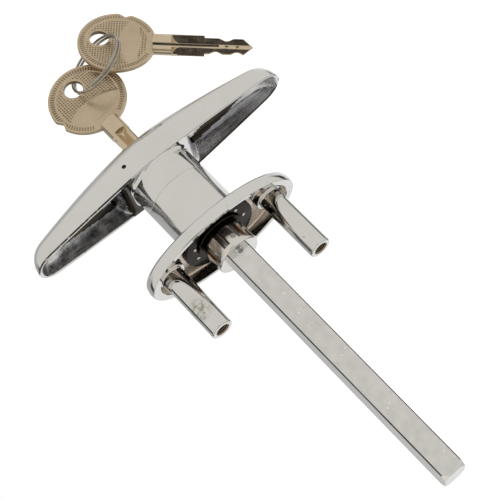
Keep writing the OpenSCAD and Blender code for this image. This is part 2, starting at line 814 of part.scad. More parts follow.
ring_self_gap = min([for (i = [0 : ring_count], j = [0 : ring_count]) if (j - i > loop_rings / 2)
    norm(wire_centre(i) - wire_centre(j))]) - wire_d;
echo(ring_self_gap = ring_self_gap);

module key_ring() {
    color("silver") translate(ring_at) rotate(ring_turn) polyhedron(wire_points, wire_faces);
}

back_plate();
t_handle();
drive_hub();
spindle();
cross_pin();
retaining_washer();
cylinder_body();
lock_plug();
key_pins();
driver_pins();
tumbler_springs();
keeper_pin();
plug_clip();
lock_cam();
locking_bolt();
key_1_blade();
key_1_bow();
key_2_blade();
key_2_bow();
key_ring();
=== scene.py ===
import json
from math import atan2, copysign, cos, degrees, exp, hypot, pi, radians, sin, sqrt

import bmesh
import bpy
from mathutils import Euler, Matrix, Vector, noise


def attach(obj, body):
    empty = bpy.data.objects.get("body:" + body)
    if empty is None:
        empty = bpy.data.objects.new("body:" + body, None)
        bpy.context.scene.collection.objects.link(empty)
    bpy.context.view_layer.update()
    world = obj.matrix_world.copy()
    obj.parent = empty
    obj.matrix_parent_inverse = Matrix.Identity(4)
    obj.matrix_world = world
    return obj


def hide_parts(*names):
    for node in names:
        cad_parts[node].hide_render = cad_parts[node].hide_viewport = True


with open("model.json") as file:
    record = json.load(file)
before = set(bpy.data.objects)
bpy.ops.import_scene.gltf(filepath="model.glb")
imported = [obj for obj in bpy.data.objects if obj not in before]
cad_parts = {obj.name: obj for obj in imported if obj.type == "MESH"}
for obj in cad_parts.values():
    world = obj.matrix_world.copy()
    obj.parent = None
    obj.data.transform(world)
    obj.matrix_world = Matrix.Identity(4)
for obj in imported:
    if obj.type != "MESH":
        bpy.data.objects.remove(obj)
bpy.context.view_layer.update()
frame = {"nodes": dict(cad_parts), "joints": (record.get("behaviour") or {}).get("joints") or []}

# Sizes are millimetres and turns are degrees, in the part's frame: +Y along the spindle into the door and
# +Z up the T bar. Shares, powers and levels have no unit.
MM = 0.001
TAU = 2 * pi
WELD = 1e-5  # points closer than this become one
TOUCH = 0.01  # room for rounding where a face is sorted by its place
AXIS_R = 0.02  # smallest ring round an axis
TINY = 1e-6  # keeps a division away from zero

# Back plate
PLATE_HALF_W = 17.0
PLATE_HALF_H = 30.0
PLATE_DEPTH = 5.0
PLATE_CROWN = 1.2
PLATE_ROUND = 2.0
PLATE_LIP = 0.3
CROWN_DROP = 0.1
CROWN_POWER = 1.25
RIM_BARREL = 0.22
BARREL_TURN = 15
HOLLOW_HALF_W = 15.3
HOLLOW_HALF_H = 26.6
HOLLOW_FOOT = 0.8
FLOOR_Y = -4.1
COLLAR_R = 12.0
COLLAR_FRONT = -23.0
COLLAR_FOOT = 0.9
BORE_R = 9.05
PARTING_ROUND = 0.1
BOLT_NOTCH_HALF_W = 2.8
BOLT_NOTCH_REACH = 11.04
BOLT_NOTCH_ENDS = (-19.3, -15.3)
BOLT_NOTCH_TURNS = (90, 180)

# Posts
POST_Z = 20.75
POST_R = 4.0
POST_END = 23.75
POST_EDGE = 0.45
POST_SINK = 0.05
FOOT_R = 5.2
FOOT_TOP = -1.7
FOOT_FILLET = 0.5
MOUTH_WIDER = 0.1
MOUTH_DEEP = 0.4
THREAD_MINOR_R = 2.1
THREAD_MAJOR_R = 2.45
THREAD_PITCH = 0.8
THREAD_START = 0.5
THREAD_DEPTH = 15.0
THREAD_PLAIN = 1.0
# Radius at each share of the pitch
THREAD_FORM = ((THREAD_MINOR_R, 0.0), (THREAD_MAJOR_R, 0.36), (THREAD_MAJOR_R, 0.5), (THREAD_MINOR_R, 0.86))
DRILL_POINT = 0.8
DRILL_TIP_R = 0.05
SMUDGE_AT = (-3.6, 15.0, 22.6)
SMUDGE_R = 4.6

# T bar
BAR_HALF_L = 52.4
BAR_HALF_W = 12.2
BAR_TAPER = 5.6
TAPER_POWER = 1.3
BAR_BACK = -33.0
BAR_FRONT = 14.8
BAR_FALL = 7.0
FALL_POWER = 1.5
BAR_TIP = 8.4
TIP_POWER = 3
BAR_POWER = 2.6
BAR_WALL = 1.3
BAR_SKIN = 2.0
BAR_EDGE = 0.45
BAR_TURN = 3.0
EDGE_SHARE = 0.3  # most of a width or height that its rounded edge may take
STATION_GAP = 0.02

# Hollows of the T bar
POCKET_START = 12.4
POCKET_END = 51.2
POCKET_ROUND = 2.6
POCKET_TIP = 7.0
POCKET_TIP_POWER = 2.6
POCKET_NECK_SLOPE = 5.5
POCKET_TIP_SLOPE = 3.4
POCKET_EDGE = 0.25
POCKET_POWER = 3.2
POCKET_WALL_SHARE = 0.5
POCKET_LEAST_SHARE = 0.02
RIPPLE = 0.2
RIPPLE_ACROSS = 0.9
RIPPLE_ALONG = 0.07
RIPPLE_START = 0.6
RIPPLE_RUN = 2.0

# Where the finishes of the T bar change
RIM_DEEP = 0.35
FLOOR_SLACK = 1.0
STRIP_TOP_DEEP = 6.3
SHADE_STRIP = 2.2
STRIP_WAVE = 0.6
STRIP_GRAIN = (0.2, 1, 0.12)
WALL_START = 0.6
NECK_PATCH = 2.6
PATCH_WAVE = 0.5
PATCH_GRAIN = (0.5, 0.8, 0)
LAND_START = 9.0
LAND_RUN = 2.5
CHIP_START = 10.0
CHIP_TOP = 0.02
CHIP_LEVEL = -0.4
CHIP_GRAIN = (0, 5, 0.7)

# Neck of the T handle and the holes in its bar
NECK_FILLET = 1.6
NECK_LEAST_FILLET = 0.05
NECK_FILLET_POWER = 3
NECK_SIDE_GAP = 0.12
NECK_HOLLOW_GAP = 0.1
NECK_SINK = 0.01
NECK_LAP = 0.1
PARTING_GAP = 0.02
CYLINDER_BORE_R = 9.02
CYLINDER_SEAT = -25.0
CYLINDER_PAST = 5.0
KEEPER_R = 0.78
KEEPER_Y = -38.5
KEEPER_Z = 9.45
KEEPER_PAST = 2.0

# Hub
HUB_R = 8.0
HUB_END = 7.5
HUB_FOOT = -2.68
HUB_DISC = 1.9
HUB_EDGE = 0.6
HUB_NECK_R = 7.0
HUB_LAP = 0.2
HUB_MOUTH_SHARE = 0.9
DRUM_FOOT = -0.48
DRUM_EDGE = 0.4
FLANGE_R = 9.2
FLANGE_T = 0.9
FLANGE_FRONT_EDGE = 0.2
FLANGE_REAR_EDGE = 0.25
FLUTES = 8
FLUTE_R = 1.3
FLUTE_DEEP = 1.2
FLUTE_TURN = -4.0
# Share of the flutes' depth at each distance from the disc's front
FLUTE_FADE = ((-0.3, 1), (-0.1, 0.9), (0.0, 0.5), (0.1, 0))
DRUM_SKIN = 0.2
DISC_LAP = 0.05
COPPER_DEEP = 0.8
COPPER_LEVEL = -0.1
COPPER_GRAIN = (0.8, 0.3, 0.8)

# Spindle with its peened mark, and the cross pin
SPINDLE_HALF = 4.0
SPINDLE_EDGE = 0.38
SPINDLE_FOOT = -9.0
SPINDLE_REACH = 107.0
SPINDLE_CUT = 2.6
SPINDLE_SLOPE = 30.0
EDGE_LEAN = 0.2  # a face that leans more to both sides is an edge or a cut corner
CORNER_LEAN = 0.1  # and one that leans more along the bar is a cut corner
STAKE_AT = (-4.0, 8.3, -0.3)
STAKE_R = 1.7
STAKE_H = 1.0
STAKE_BEND = 0.2
STAKE_FLOOR = 0.5
STAKE_CENTRE = 0.01
# Height at each share of the radius
STAKE_PROFILE = ((0.0, 0.1), (0.3, 0.12), (0.5, 0.2), (0.65, 0.35), (0.8, 0.45), (0.9, 0.4), (1.0, -0.2))
PIN_R = 1.1
PIN_REACH = 8.03
PIN_EDGE = 0.15
PIN_Y = 4.2
PIN_TURN = -9.0

# Washer
WASHER_R = 14.0
WASHER_BORE_R = 7.22
WASHER_FRONT = -3.9
WASHER_REAR = -2.7
WASHER_FRONT_EDGE = 0.2
WASHER_REAR_EDGE = 0.3
PIP_REACH = 10.3
PIP_R = 0.8
PIP_H = 0.5
PIP_SINK = 0.05
PIP_BASE = WASHER_REAR - PIP_SINK
PIP_GLINT_SHARE = 0.45
PIP_TURNS = (95, 131, 255, 291)

# Bows of the keys
BOW_R = 13.8
BOW_T = 1.7
BOW_EDGE = 0.2
HOLE_R = 3.4
HOLE_Y = -6.3
HOLE_Z = 1.3
HOLE_EDGE = 0.05
HOLE_EDGE_SHARE = 0.012
HOLE_MARGIN = 0.6
HOLE_RUN = 0.4
RELIEF_START = 0.025
RELIEF_SPAN = 0.96
BORDER = 2.5
RIBS = 80
RIB_DEEP = 0.22
RIB_OUT = 0.7
RIB_IN = 0.1
RIB_RUN = 0.25
RIB_SWING = 0.8
RIB_GAP_TURN = 25.0
BOW_NOTCH_DEEP = 1.45
BOW_NOTCH_STEEP = 71.0
BOW_NOTCH_TURN = 79.0
BOW_NOTCH_LONG = 90.5
FIELD_DEEP = 0.16
FIELD_RUN = 0.3
FIELD_MARGIN = 0.35
DIMPLE_PITCH = 0.95
DIMPLE_DEEP = 0.24
DIMPLE_HALF = 0.34
DIMPLE_SIDE = 0.18
PANEL_DEEP = 0.08
PANEL_RUN = 0.25
PANEL_R = 17.2
PANEL_Y = 18.2
PANEL_Z = 0.3
PLAIN_R = 37.0
PLAIN_Y = -27.55
SECOND_LAP = 1.6
LINE_H = 0.2
LINE_W = 0.24
DIMPLE_SHADE_LEVEL = -0.28
RIB_SHADE_LEVEL = -0.15
BOW_FACE_SHARE = 0.4

# Blades of the keys
SHANK_R = 3.75
SHANK_L = 8.2
SHANK_LAP = 1.4
SHANK_EDGE = 0.25
FIN_STEP = 16.9
FIN_WIDE_R = 3.7
FIN_R = 2.9
FIN_T = 1.4
FIN_POINT = 3.6
POINT_R = 0.1
BLADE_L = 34.1
BLADE_BLUNT = 0.12
CUTTER_R = 3.0
CUT_DEEP = 0.85
CUT_FLOOR = 1.2
CUT_SLOPE = 1.9
CUT_ROWS = (20.85, 24.6, 28.35)
# The rows that are cut in the fin at each turn
FIN_CUTS = {45: (0, 1, 0), 135: (1, 1, 0), 225: (1, 0, 1), 315: (0, 1, 1)}
STEP_GAP = 0.01
FIRST_TURN = (0, 0, 0)
SECOND_TURN = (-130.3, 13.6, 183.1)

# Split ring
RING_R = 11.7
RING_PITCH = 1.2
RING_TURNS = 1.87
RING_TURN = (-1.6, 70.4, 214.0)
RING_FIRST = 170.0
FIRST_OUT = 0.3
FIRST_ALONG = 0.2
WIRE_R = 0.47
WIRE_START = 228.0
WIRE_END_SHARE = 0.75


# Meshes

def smooth(t):
    """Eases from 0 to 1 as t goes from 0 to 1."""
    t = min(1.0, max(0.0, t))
    return t * t * (3 - 2 * t)


def arc(cx, cy, r, start, end, steps=6):
    """Points of a round from angle start to end, in degrees."""
    turns = [radians(start + (end - start) * i / steps) for i in range(steps + 1)]
    return [(cx + r * cos(a), cy + r * sin(a)) for a in turns]


def rounded(r, y, edge, facing, steps):
    """Rounded outer edge of a turned shape; facing is -1 at its front and 1 at its rear."""
    return arc(r - edge, y - facing * edge, edge, 45 * facing - 45, 45 * facing + 45, steps)


def noise_at(p, grain):
    """Noise at a point, with its own scale along each axis."""
    return noise.noise(Vector([v * g for v, g in zip(p, grain)]))


def skin(bm, rings, loop=False, caps=False):
    """Quads between rings of equal point counts; loop joins the last ring to the first."""
    rows = [[bm.verts.new(p) for p in ring] for ring in rings]
    count = len(rows[0])
    pairs = list(zip(rows, rows[1:]))
    if loop:
        pairs.append((rows[-1], rows[0]))
    for low, high in pairs:
        for i in range(count):
            j = (i + 1) % count
            bm.faces.new((low[i], low[j], high[j], high[i]))
    if caps:
        bm.faces.new(rows[0])
        bm.faces.new(list(reversed(rows[-1])))


def oval(half_w, half_h, y, x=0.0, z=0.0, count=240):
    """Points of an oval round a line along Y."""
    turns = [TAU * i / count for i in range(count)]
    return [(x + half_w * cos(a), y, z + half_h * sin(a)) for a in turns]


def lathe(bm, profile, x=0.0, z=0.0, count=128, loop=False, caps=False):
    """A turned shape about a line along Y; the profile gives radius and y."""
    skin(bm, [oval(r, r, y, x, z, count) for r, y in profile], loop, caps)


def add_object(name, data):
    """Adds an object to the scene."""
    obj = bpy.data.objects.new(name, data)
    bpy.context.scene.collection.objects.link(obj)
    return obj


def finish_faces(bm, finishes, choose):
    """Gives each face the one of the finishes that choose picks for its centre."""
    for face in bm.faces:
        face.material_index = finishes.index(choose(face.calc_center_median()))


def piece(name, bm, body, materials, replaces=(), sharp=32.0):
    """Turns a bmesh in millimetres into a piece that rides on a CAD body."""
    bmesh.ops.remove_doubles(bm, verts=bm.verts, dist=WELD)
    bmesh.ops.recalc_face_normals(bm, faces=bm.faces)
    limit = radians(sharp)
    for face in bm.faces:
        face.smooth = True
    for edge in bm.edges:
        if len(edge.link_faces) == 2:
            edge.smooth = edge.calc_face_angle(0.0) < limit
    bm.transform(Matrix.Scale(MM, 4))
    mesh = bpy.data.meshes.new(name)
    bm.to_mesh(mesh)
    bm.free()
    for material in materials:
        mesh.materials.append(material)
    obj = add_object(name, mesh)
    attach(obj, body)
    if replaces:
        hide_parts(*replaces)
    return obj


def keep_flats(obj):
    """Shades broad flats as flat and leaves the bending to the narrow rounds beside them."""
    weigh = obj.modifiers.new("keep_flats", "WEIGHTED_NORMAL")
    weigh.keep_sharp = True


def carve(obj, bm, place):
    """Cuts a closed bmesh in millimetres, put in place by a matrix, out of a piece."""
    bmesh.ops.recalc_face_normals(bm, faces=bm.faces)
    bm.transform(Matrix.Scale(MM, 4) @ place)
    mesh = bpy.data.meshes.new("cutter")
    bm.to_mesh(mesh)
    bm.free()
    cutter = add_object("cutter", mesh)
    tool = obj.modifiers.new("cut", "BOOLEAN")
    tool.object = cutter
    tool.solver = "EXACT"
    graph = bpy.context.evaluated_depsgraph_get()
    result = bpy.data.meshes.new_from_object(obj.evaluated_get(graph))
    obj.modifiers.remove(tool)
    old = obj.data
    obj.data = result
    bpy.data.meshes.remove(old)
    bpy.data.objects.remove(cutter)


def bore(obj, reach, start, end, place):
    """Drills a round hole along Y, put in place by a matrix."""
    bm = bmesh.new()
    lathe(bm, [(reach, start), (reach, end)], count=96, caps=True)
    carve(obj, bm, place)


# Materials

EVEN = (1, 1, 1)
SPOT_EDGE = 0.01
PATCH_FALL = ((0.45, 1), (1.0, 0))
PATCH_BREAK = ((0.42, 0), (0.60, 1))
SMUDGE_FINE = 0.7
DRIFT_START, DRIFT_END = 0.36, 0.70
ROUGH_START, ROUGH_END = 0.35, 0.7
ROUGH_SCALE = 0.5
MARK_LEVEL = 0.4
BUMP_DEEP = 0.2


class Nodes:
    """A node tree with short calls to add and join nodes."""

    def __init__(self, tree):
        self.tree = tree
        tree.nodes.clear()

    def add(self, kind, **values):
        node = self.tree.nodes.new(kind)
        for key, value in values.items():
            if hasattr(node, key):
                setattr(node, key, value)
            else:
                node.inputs[key].default_value = value
        return node

    def join(self, a, b):
        self.tree.links.new(a, b)


def object_place(n, scale, stretch=EVEN):
    """Place in the part's frame, times scale per millimetre."""
    place = n.add("ShaderNodeTexCoord")
    fit = n.add("ShaderNodeMapping")
    fit.inputs["Scale"].default_value = [s * scale / MM for s in stretch]
    n.join(place.outputs["Object"], fit.inputs["Vector"])
    return fit.outputs["Vector"]


def object_noise(n, scale, detail=3.0, roughness=0.55, stretch=EVEN):
    """Noise in the part's frame, with features of about 1 / scale millimetres."""
    out = n.add("ShaderNodeTexNoise", Scale=1.0, Detail=detail, Roughness=roughness)
    n.join(object_place(n, scale, stretch), out.inputs["Vector"])
    return out.outputs["Fac"]


def ramp(n, source, stops):
    """A colour ramp; each stop is a place and a colour."""
    node = n.add("ShaderNodeValToRGB")
    band = node.color_ramp
    while len(band.elements) > 1:
        band.elements.remove(band.elements[0])
    band.elements[0].position = stops[0][0]
    band.elements[0].color = (*stops[0][1], 1)
    for at, colour in stops[1:]:
        band.elements.new(at).color = (*colour, 1)
    n.join(source, node.inputs["Fac"])
    return node.outputs["Color"]


def fade(n, source, *stops):
    """A ramp of greys; each stop is a place and a value."""
    return ramp(n, source, [(at, (v, v, v)) for at, v in stops])


def times(n, a, b):
    """Product of two values."""
    node = n.add("ShaderNodeMath", operation="MULTIPLY")
    n.join(a, node.inputs[0])
    n.join(b, node.inputs[1])
    return node.outputs["Value"]


def blend_to(n, base, colour, mask):
    """Base turns to a colour where the mask is 1."""
    mix = n.add("ShaderNodeMix", data_type="RGBA")
    n.join(mask, mix.inputs["Factor"])
    n.join(base, mix.inputs["A"])
    mix.inputs["B"].default_value = (*colour, 1)
    return mix.outputs["Result"]


def spots(n, pitch, share, size, stretch):
    """Mask of scattered spots of one radius, in about share of the cells of the given pitch."""
    cells = n.add("ShaderNodeTexVoronoi", Scale=1.0)
    n.join(object_place(n, 1 / pitch, stretch), cells.inputs["Vector"])
    near = fade(n, cells.outputs["Distance"], (0.5 * size / pitch, 1), (size / pitch, 0))
    draw = n.add("ShaderNodeSeparateColor")
    n.join(cells.outputs["Color"], draw.inputs["Color"])
    chosen = fade(n, draw.outputs["Red"], (1 - share, 0), (1 + SPOT_EDGE - share, 1))
    return times(n, near, chosen)


def patch(n, centre, radius):
    """Mask of a broken patch of the given radius round a point in the part's frame."""
    place = n.add("ShaderNodeTexCoord")
    gap = n.add("ShaderNodeVectorMath", operation="DISTANCE")
    n.join(place.outputs["Object"], gap.inputs[0])
    gap.inputs[1].default_value = [v * MM for v in centre]
    span = n.add("ShaderNodeMapRange")
    span.inputs["From Max"].default_value = radius * MM
    n.join(gap.outputs["Value"], span.inputs["Value"])
    fall = fade(n, span.outputs["Result"], *PATCH_FALL)
    broken = fade(n, object_noise(n, SMUDGE_FINE, detail=5.0, roughness=0.7), *PATCH_BREAK)
    return times(n, fall, broken)


def metal(name, colour, worn, rough, bump=0.02, grain=0.5, stretch=EVEN, marks=(), smudge=None,
          drift=0.09, glance=1.0):
    """Plated metal: colour drifts towards worn, roughness varies, and bumps and marks break the shine.

    Each mark is a pitch, a share, a size and a colour; a smudge is a centre, a radius and a colour; a low
    glance keeps the metal dark where it is seen edge on.
    """
    material = bpy.data.materials.new(name)
    material.use_nodes = True
    n = Nodes(material.node_tree)
    out = n.add("ShaderNodeOutputMaterial")
    shader = n.add("ShaderNodeBsdfPrincipled", Metallic=1.0)
    shader.inputs["Specular Tint"].default_value = (glance, glance, glance, 1)
    n.join(shader.outputs["BSDF"], out.inputs["Surface"])
    tint = ramp(n, object_noise(n, drift, detail=4.0), [(DRIFT_START, colour), (DRIFT_END, worn)])
    height = object_noise(n, grain, detail=1.5, roughness=0.5, stretch=stretch)
    for pitch, share, size, shade in marks:
        mask = spots(n, pitch, share, size, stretch)
        tint = blend_to(n, tint, shade, mask)
        height = times(n, height, fade(n, mask, (0.0, 1), (1.0, MARK_LEVEL)))
    if smudge:
        centre, radius, shade = smudge
        tint = blend_to(n, tint, shade, patch(n, centre, radius))
    n.join(tint, shader.inputs["Base Color"])
    fine = object_noise(n, ROUGH_SCALE, detail=5.0, roughness=0.6, stretch=stretch)
    n.join(fade(n, fine, (ROUGH_START, rough[0]), (ROUGH_END, rough[1])), shader.inputs["Roughness"])
    lift = n.add("ShaderNodeBump", Strength=bump, Distance=BUMP_DEEP * MM)
    n.join(height, lift.inputs["Height"])
    n.join(lift.outputs["Normal"], shader.inputs["Normal"])
    return material


PIT = (0.20, 0.19, 0.18)
FAINT = (0.50, 0.48, 0.45)
GLINT = (1.0, 1.0, 0.99)
PLATED = (0.76, 0.755, 0.74)
PLATED_WORN = (0.73, 0.72, 0.70)
LENGTHWISE = (1, 1, 0.12)
CHROME = metal("chrome", PLATED, PLATED_WORN, (0.03, 0.06), bump=0.006, grain=0.2,
               marks=((4.5, 0.4, 0.4, FAINT),))
POST_CHROME = metal("post_chrome", PLATED, (0.72, 0.71, 0.68), (0.04, 0.09), bump=0.008, grain=0.3,
                    marks=((2.6, 0.4, 0.3, PIT),), smudge=(SMUDGE_AT, SMUDGE_R, (0.36, 0.34, 0.29)))
PLATE_CHROME = metal("plate_chrome", PLATED, PLATED_WORN, (0.10, 0.15), bump=0.006, grain=0.2,
                     marks=((3.2, 0.3, 0.2, PIT),))
RECESS = metal("recess_plating", (0.74, 0.64, 0.55), (0.64, 0.55, 0.47), (0.24, 0.34), bump=0.008, grain=0.3)
CAST = metal("rough_cast", (0.74, 0.74, 0.75), (0.52, 0.52, 0.54), (0.16, 0.30), bump=0.3, grain=1.2,
             stretch=LENGTHWISE, marks=((1.3, 0.4, 0.3, GLINT),), drift=0.25)
# Painted shade: the +Z wing's hollow is painted darker than the -Z wing's, which has the same shape.
SHADE_CAST = metal("painted_shade_cast", (0.78, 0.78, 0.79), (0.13, 0.13, 0.135), (0.22, 0.36), bump=0.08,
                  stretch=LENGTHWISE, marks=((2.4, 0.4, 0.6, GLINT),), drift=0.25)
# Painted shade: near black, for a strip low on the hollows' walls and for the +Z wing's hollow by the neck.
BLACK_SHADE_CAST = metal("painted_black_shade", (0.055, 0.048, 0.042), (0.10, 0.075, 0.05), (0.20, 0.40), bump=0.2,
                 grain=0.6, stretch=(1, 1, 0.2), glance=0.4)
# Bright cut metal on the spindle's cut corners, and a painted highlight in the -Z wing's hollow by the neck.
BRIGHT_AND_HIGHLIGHT = metal("bright_cut_and_painted_highlight", (0.97, 0.97, 0.95), (0.80, 0.79, 0.77), (0.25, 0.4), bump=0.3,
                    grain=1.4, drift=0.5)
# Painted shade on the land by the neck of the +Z wing, where it reflects dark.
LAND_SHADE = metal("painted_land_shade", (0.15, 0.145, 0.14), (0.08, 0.075, 0.07), (0.12, 0.22), grain=0.4, glance=0.5)
# Chips along the +Z wing's near rim, and painted shade along the -Z wing's far rim.
CHIPS_AND_RIM_SHADE = metal("chips_and_painted_rim_shade", (0.06, 0.055, 0.05), (0.12, 0.11, 0.10), (0.35, 0.6), bump=0.4,
                grain=1.2, glance=0.4)
HUB_METAL = metal("hub_plating", (0.80, 0.79, 0.77), (0.74, 0.71, 0.67), (0.12, 0.20), bump=0.012,
                  grain=0.4, marks=((1.8, 0.4, 0.2, PIT),))
# Painted shade in the hub's flutes and on the floor of the staked dimple.
FLUTE_SHADE = metal("painted_flute_shade", (0.40, 0.42, 0.45), (0.28, 0.29, 0.31), (0.18, 0.28), grain=0.4,
                    drift=0.3)
COPPER = metal("flute_copper", (0.62, 0.33, 0.18), (0.45, 0.24, 0.14), (0.16, 0.28), bump=0.04, grain=0.7)
SPINDLE_METAL = metal("spindle_plating", (0.76, 0.755, 0.735), (0.67, 0.665, 0.65), (0.06, 0.12),
                      bump=0.012, grain=0.3, drift=0.3,
                      marks=((2.9, 0.5, 0.36, (0.58, 0.56, 0.52)), (3.3, 0.3, 0.36, (0.96, 0.96, 0.94))))
DARK_EDGE = metal("dark_edge", (0.05, 0.049, 0.046), (0.16, 0.155, 0.145), (0.25, 0.40), bump=0.05,
                  grain=0.4, glance=0.4)
PIN_METAL = metal("pin_steel", (0.60, 0.56, 0.50), (0.50, 0.46, 0.41), (0.30, 0.45), bump=0.08)
BLACK_METAL = metal("black_washer", (0.034, 0.028, 0.023), (0.024, 0.019, 0.015), (0.14, 0.26), glance=0.72)
# Painted glint on the tops of the washer's pips.
PIP_GLINT = metal("painted_pip_glint", (0.80, 0.78, 0.74), (0.55, 0.52, 0.48), (0.08, 0.16), grain=0.6)
CYLINDER_METAL = metal("cylinder_plating", (0.74, 0.72, 0.67), (0.66, 0.63, 0.57), (0.12, 0.24), bump=0.03)
BRASS = metal("brass", (0.78, 0.62, 0.34), (0.66, 0.50, 0.26), (0.18, 0.34), bump=0.04)
NICKEL = metal("nickel", (0.61, 0.495, 0.355), (0.54, 0.435, 0.305), (0.26, 0.38), bump=0.06, grain=0.6,
               marks=((1.7, 0.3, 0.2, (0.42, 0.33, 0.22)),))
# Painted shade in the bows' dimples and rib grooves.
BOW_SHADE = metal("nickel_painted_shade", (0.33, 0.255, 0.17), (0.26, 0.195, 0.125), (0.35, 0.5), bump=0.06, grain=0.9)
BLADE_NICKEL = metal("blade_nickel", (0.68, 0.57, 0.42), (0.60, 0.49, 0.35), (0.12, 0.20), grain=0.6)
WIRE_METAL = metal("ring_wire", (0.52, 0.48, 0.42), (0.38, 0.34, 0.28), (0.08, 0.16))
# Dark metal in the posts' tapped holes, and painted shade on the wall of the keys' ring holes.
THREAD_AND_HOLE_SHADE = metal("thread_and_hole_shade", (0.34, 0.27, 0.20), (0.22, 0.17, 0.12), (0.3, 0.45), bump=0.06)


# Back plate with its posts

def plate_rings(steps=10):
    """Ovals from the bore over the collar, the crown and the rim to the floor of the hollow."""
    edge = PARTING_ROUND
    collar = [(BORE_R, FLOOR_Y), (BORE_R, COLLAR_FRONT + edge)]
    collar += arc(BORE_R + edge, COLLAR_FRONT + edge, edge, 180, 270, 3)
    collar += rounded(COLLAR_R, COLLAR_FRONT, edge, -1, 4)
    crown_r = COLLAR_R + COLLAR_FOOT
    crown_y = -PLATE_DEPTH - PLATE_CROWN
    collar += arc(crown_r, crown_y - COLLAR_FOOT + CROWN_DROP, COLLAR_FOOT, 180, 90)
    rings = [(r, r, y) for r, y in collar]
    start = (crown_r, crown_r, crown_y + CROWN_DROP)
    end = (PLATE_HALF_W - PLATE_ROUND, PLATE_HALF_H - PLATE_ROUND, -PLATE_DEPTH)
    for i in range(1, steps):
        t = i / steps
        half_w, half_h = (a + (b - a) * t for a, b in zip(start[:2], end[:2]))
        rings.append((half_w, half_h, start[2] + (end[2] - start[2]) * t ** CROWN_POWER))
    side = arc(-PLATE_ROUND - RIM_BARREL, -PLATE_DEPTH + PLATE_ROUND, PLATE_ROUND, -90, -BARREL_TURN, 9)
    low, high = PLATE_ROUND - PLATE_DEPTH, -PLATE_LIP
    for i in range(1, steps):
        t = i / steps
        side.append((-RIM_BARREL * (2 * t - 1) ** 2, low + (high - low) * t))
    side += arc(-PLATE_LIP - RIM_BARREL, -PLATE_LIP, PLATE_LIP, BARREL_TURN, 90, 5)
    rings += [(PLATE_HALF_W + x, PLATE_HALF_H + x, y) for x, y in side]
    hollow = arc(PLATE_LIP, -PLATE_LIP, PLATE_LIP, 90, 180, 5)
    hollow += arc(-HOLLOW_FOOT, FLOOR_Y + HOLLOW_FOOT, HOLLOW_FOOT, 0, -90)
    rings += [(HOLLOW_HALF_W + x, HOLLOW_HALF_H + x, y) for x, y in hollow]
    return [oval(*r) for r in rings]


def plate_finish(p):
    """The hollow's floor and foot have the thinner plating."""
    inside = hypot(p.x / HOLLOW_HALF_W, p.z / HOLLOW_HALF_H) < 1
    low = FLOOR_Y - TOUCH < p.y < FLOOR_Y + HOLLOW_FOOT
    return RECESS if inside and low and hypot(p.x, p.z) > BORE_R + TOUCH else PLATE_CHROME


def post_profile():
    """Radius and y of a post, up its outside and down its tapped hole."""
    profile = [(FOOT_R + FOOT_FILLET, FLOOR_Y - POST_SINK)]
    profile += arc(FOOT_R + FOOT_FILLET, FLOOR_Y + FOOT_FILLET - POST_SINK, FOOT_FILLET, -90, -180, 4)
    profile += rounded(FOOT_R, FOOT_TOP, POST_EDGE, 1, 5)
    profile += arc(POST_R + FOOT_FILLET, FOOT_TOP + FOOT_FILLET, FOOT_FILLET, -90, -180, 5)
    profile += rounded(POST_R, POST_END, POST_EDGE, 1, 5)
    profile += [(THREAD_MAJOR_R + MOUTH_WIDER, POST_END), (THREAD_MINOR_R, POST_END - MOUTH_DEEP)]
    for i in range(int((THREAD_DEPTH - THREAD_PLAIN) / THREAD_PITCH)):
        y = POST_END - THREAD_START - i * THREAD_PITCH
        profile += [(r, y - share * THREAD_PITCH) for r, share in THREAD_FORM]
    profile.append((DRILL_TIP_R, POST_END - THREAD_DEPTH - DRILL_POINT))
    return profile


def post_finish(p):
    """The tapped hole is darker than the post."""
    return THREAD_AND_HOLE_SHADE if hypot(p.x, abs(p.z) - POST_Z) < THREAD_MAJOR_R else POST_CHROME


def cut_notches(shell):
    """Notches in the collar's bore that take the locking bolt in the handle's two places."""
    half, reach = BOLT_NOTCH_HALF_W, BOLT_NOTCH_REACH
    section = [(-half, 0), (half, 0), (half, -reach), (-half, -reach)]
    for turn in BOLT_NOTCH_TURNS:
        bm = bmesh.new()
        skin(bm, [[(x, y, z) for x, z in section] for y in BOLT_NOTCH_ENDS], caps=True)
        carve(shell, bm, Matrix.Rotation(radians(turn), 4, "Y"))


def make_plate():
    finishes = (PLATE_CHROME, RECESS)
    bm = bmesh.new()
    skin(bm, plate_rings(), loop=True)
    finish_faces(bm, finishes, plate_finish)
    shell = piece("plate_shell", bm, "plate", finishes, ("back_plate",))
    cut_notches(shell)
    keep_flats(shell)

    finishes = (POST_CHROME, THREAD_AND_HOLE_SHADE)
    for side, name in ((-1, "post_lower"), (1, "post_upper")):
        bm = bmesh.new()
        lathe(bm, post_profile(), z=side * POST_Z, count=96)
        finish_faces(bm, finishes, post_finish)
        keep_flats(piece(name, bm, "plate", finishes, ("back_plate",), sharp=28))


# T handle

def power(v, p):
    """A power of v that keeps its sign."""
    return copysign(abs(v) ** p, v)


def tip_share(z):
    """Share of the bar's section at z: 1 along the wings, falling to 0 at the round tips."""
    u = max(0.0, (abs(z) - BAR_HALF_L + BAR_TIP) / BAR_TIP)
    return sqrt(max(0.0, 1 - u ** TIP_POWER))


def bar_run(z):
    """How far along its wing z lies, as a share."""
    return abs(z) / (BAR_HALF_L - BAR_TIP / 2)


def bar_half_w(z):
    return (BAR_HALF_W - BAR_TAPER * bar_run(z) ** TAPER_POWER) * tip_share(z)


def bar_height(z):
    return (BAR_FRONT - BAR_FALL * bar_run(z) ** FALL_POWER) * tip_share(z)


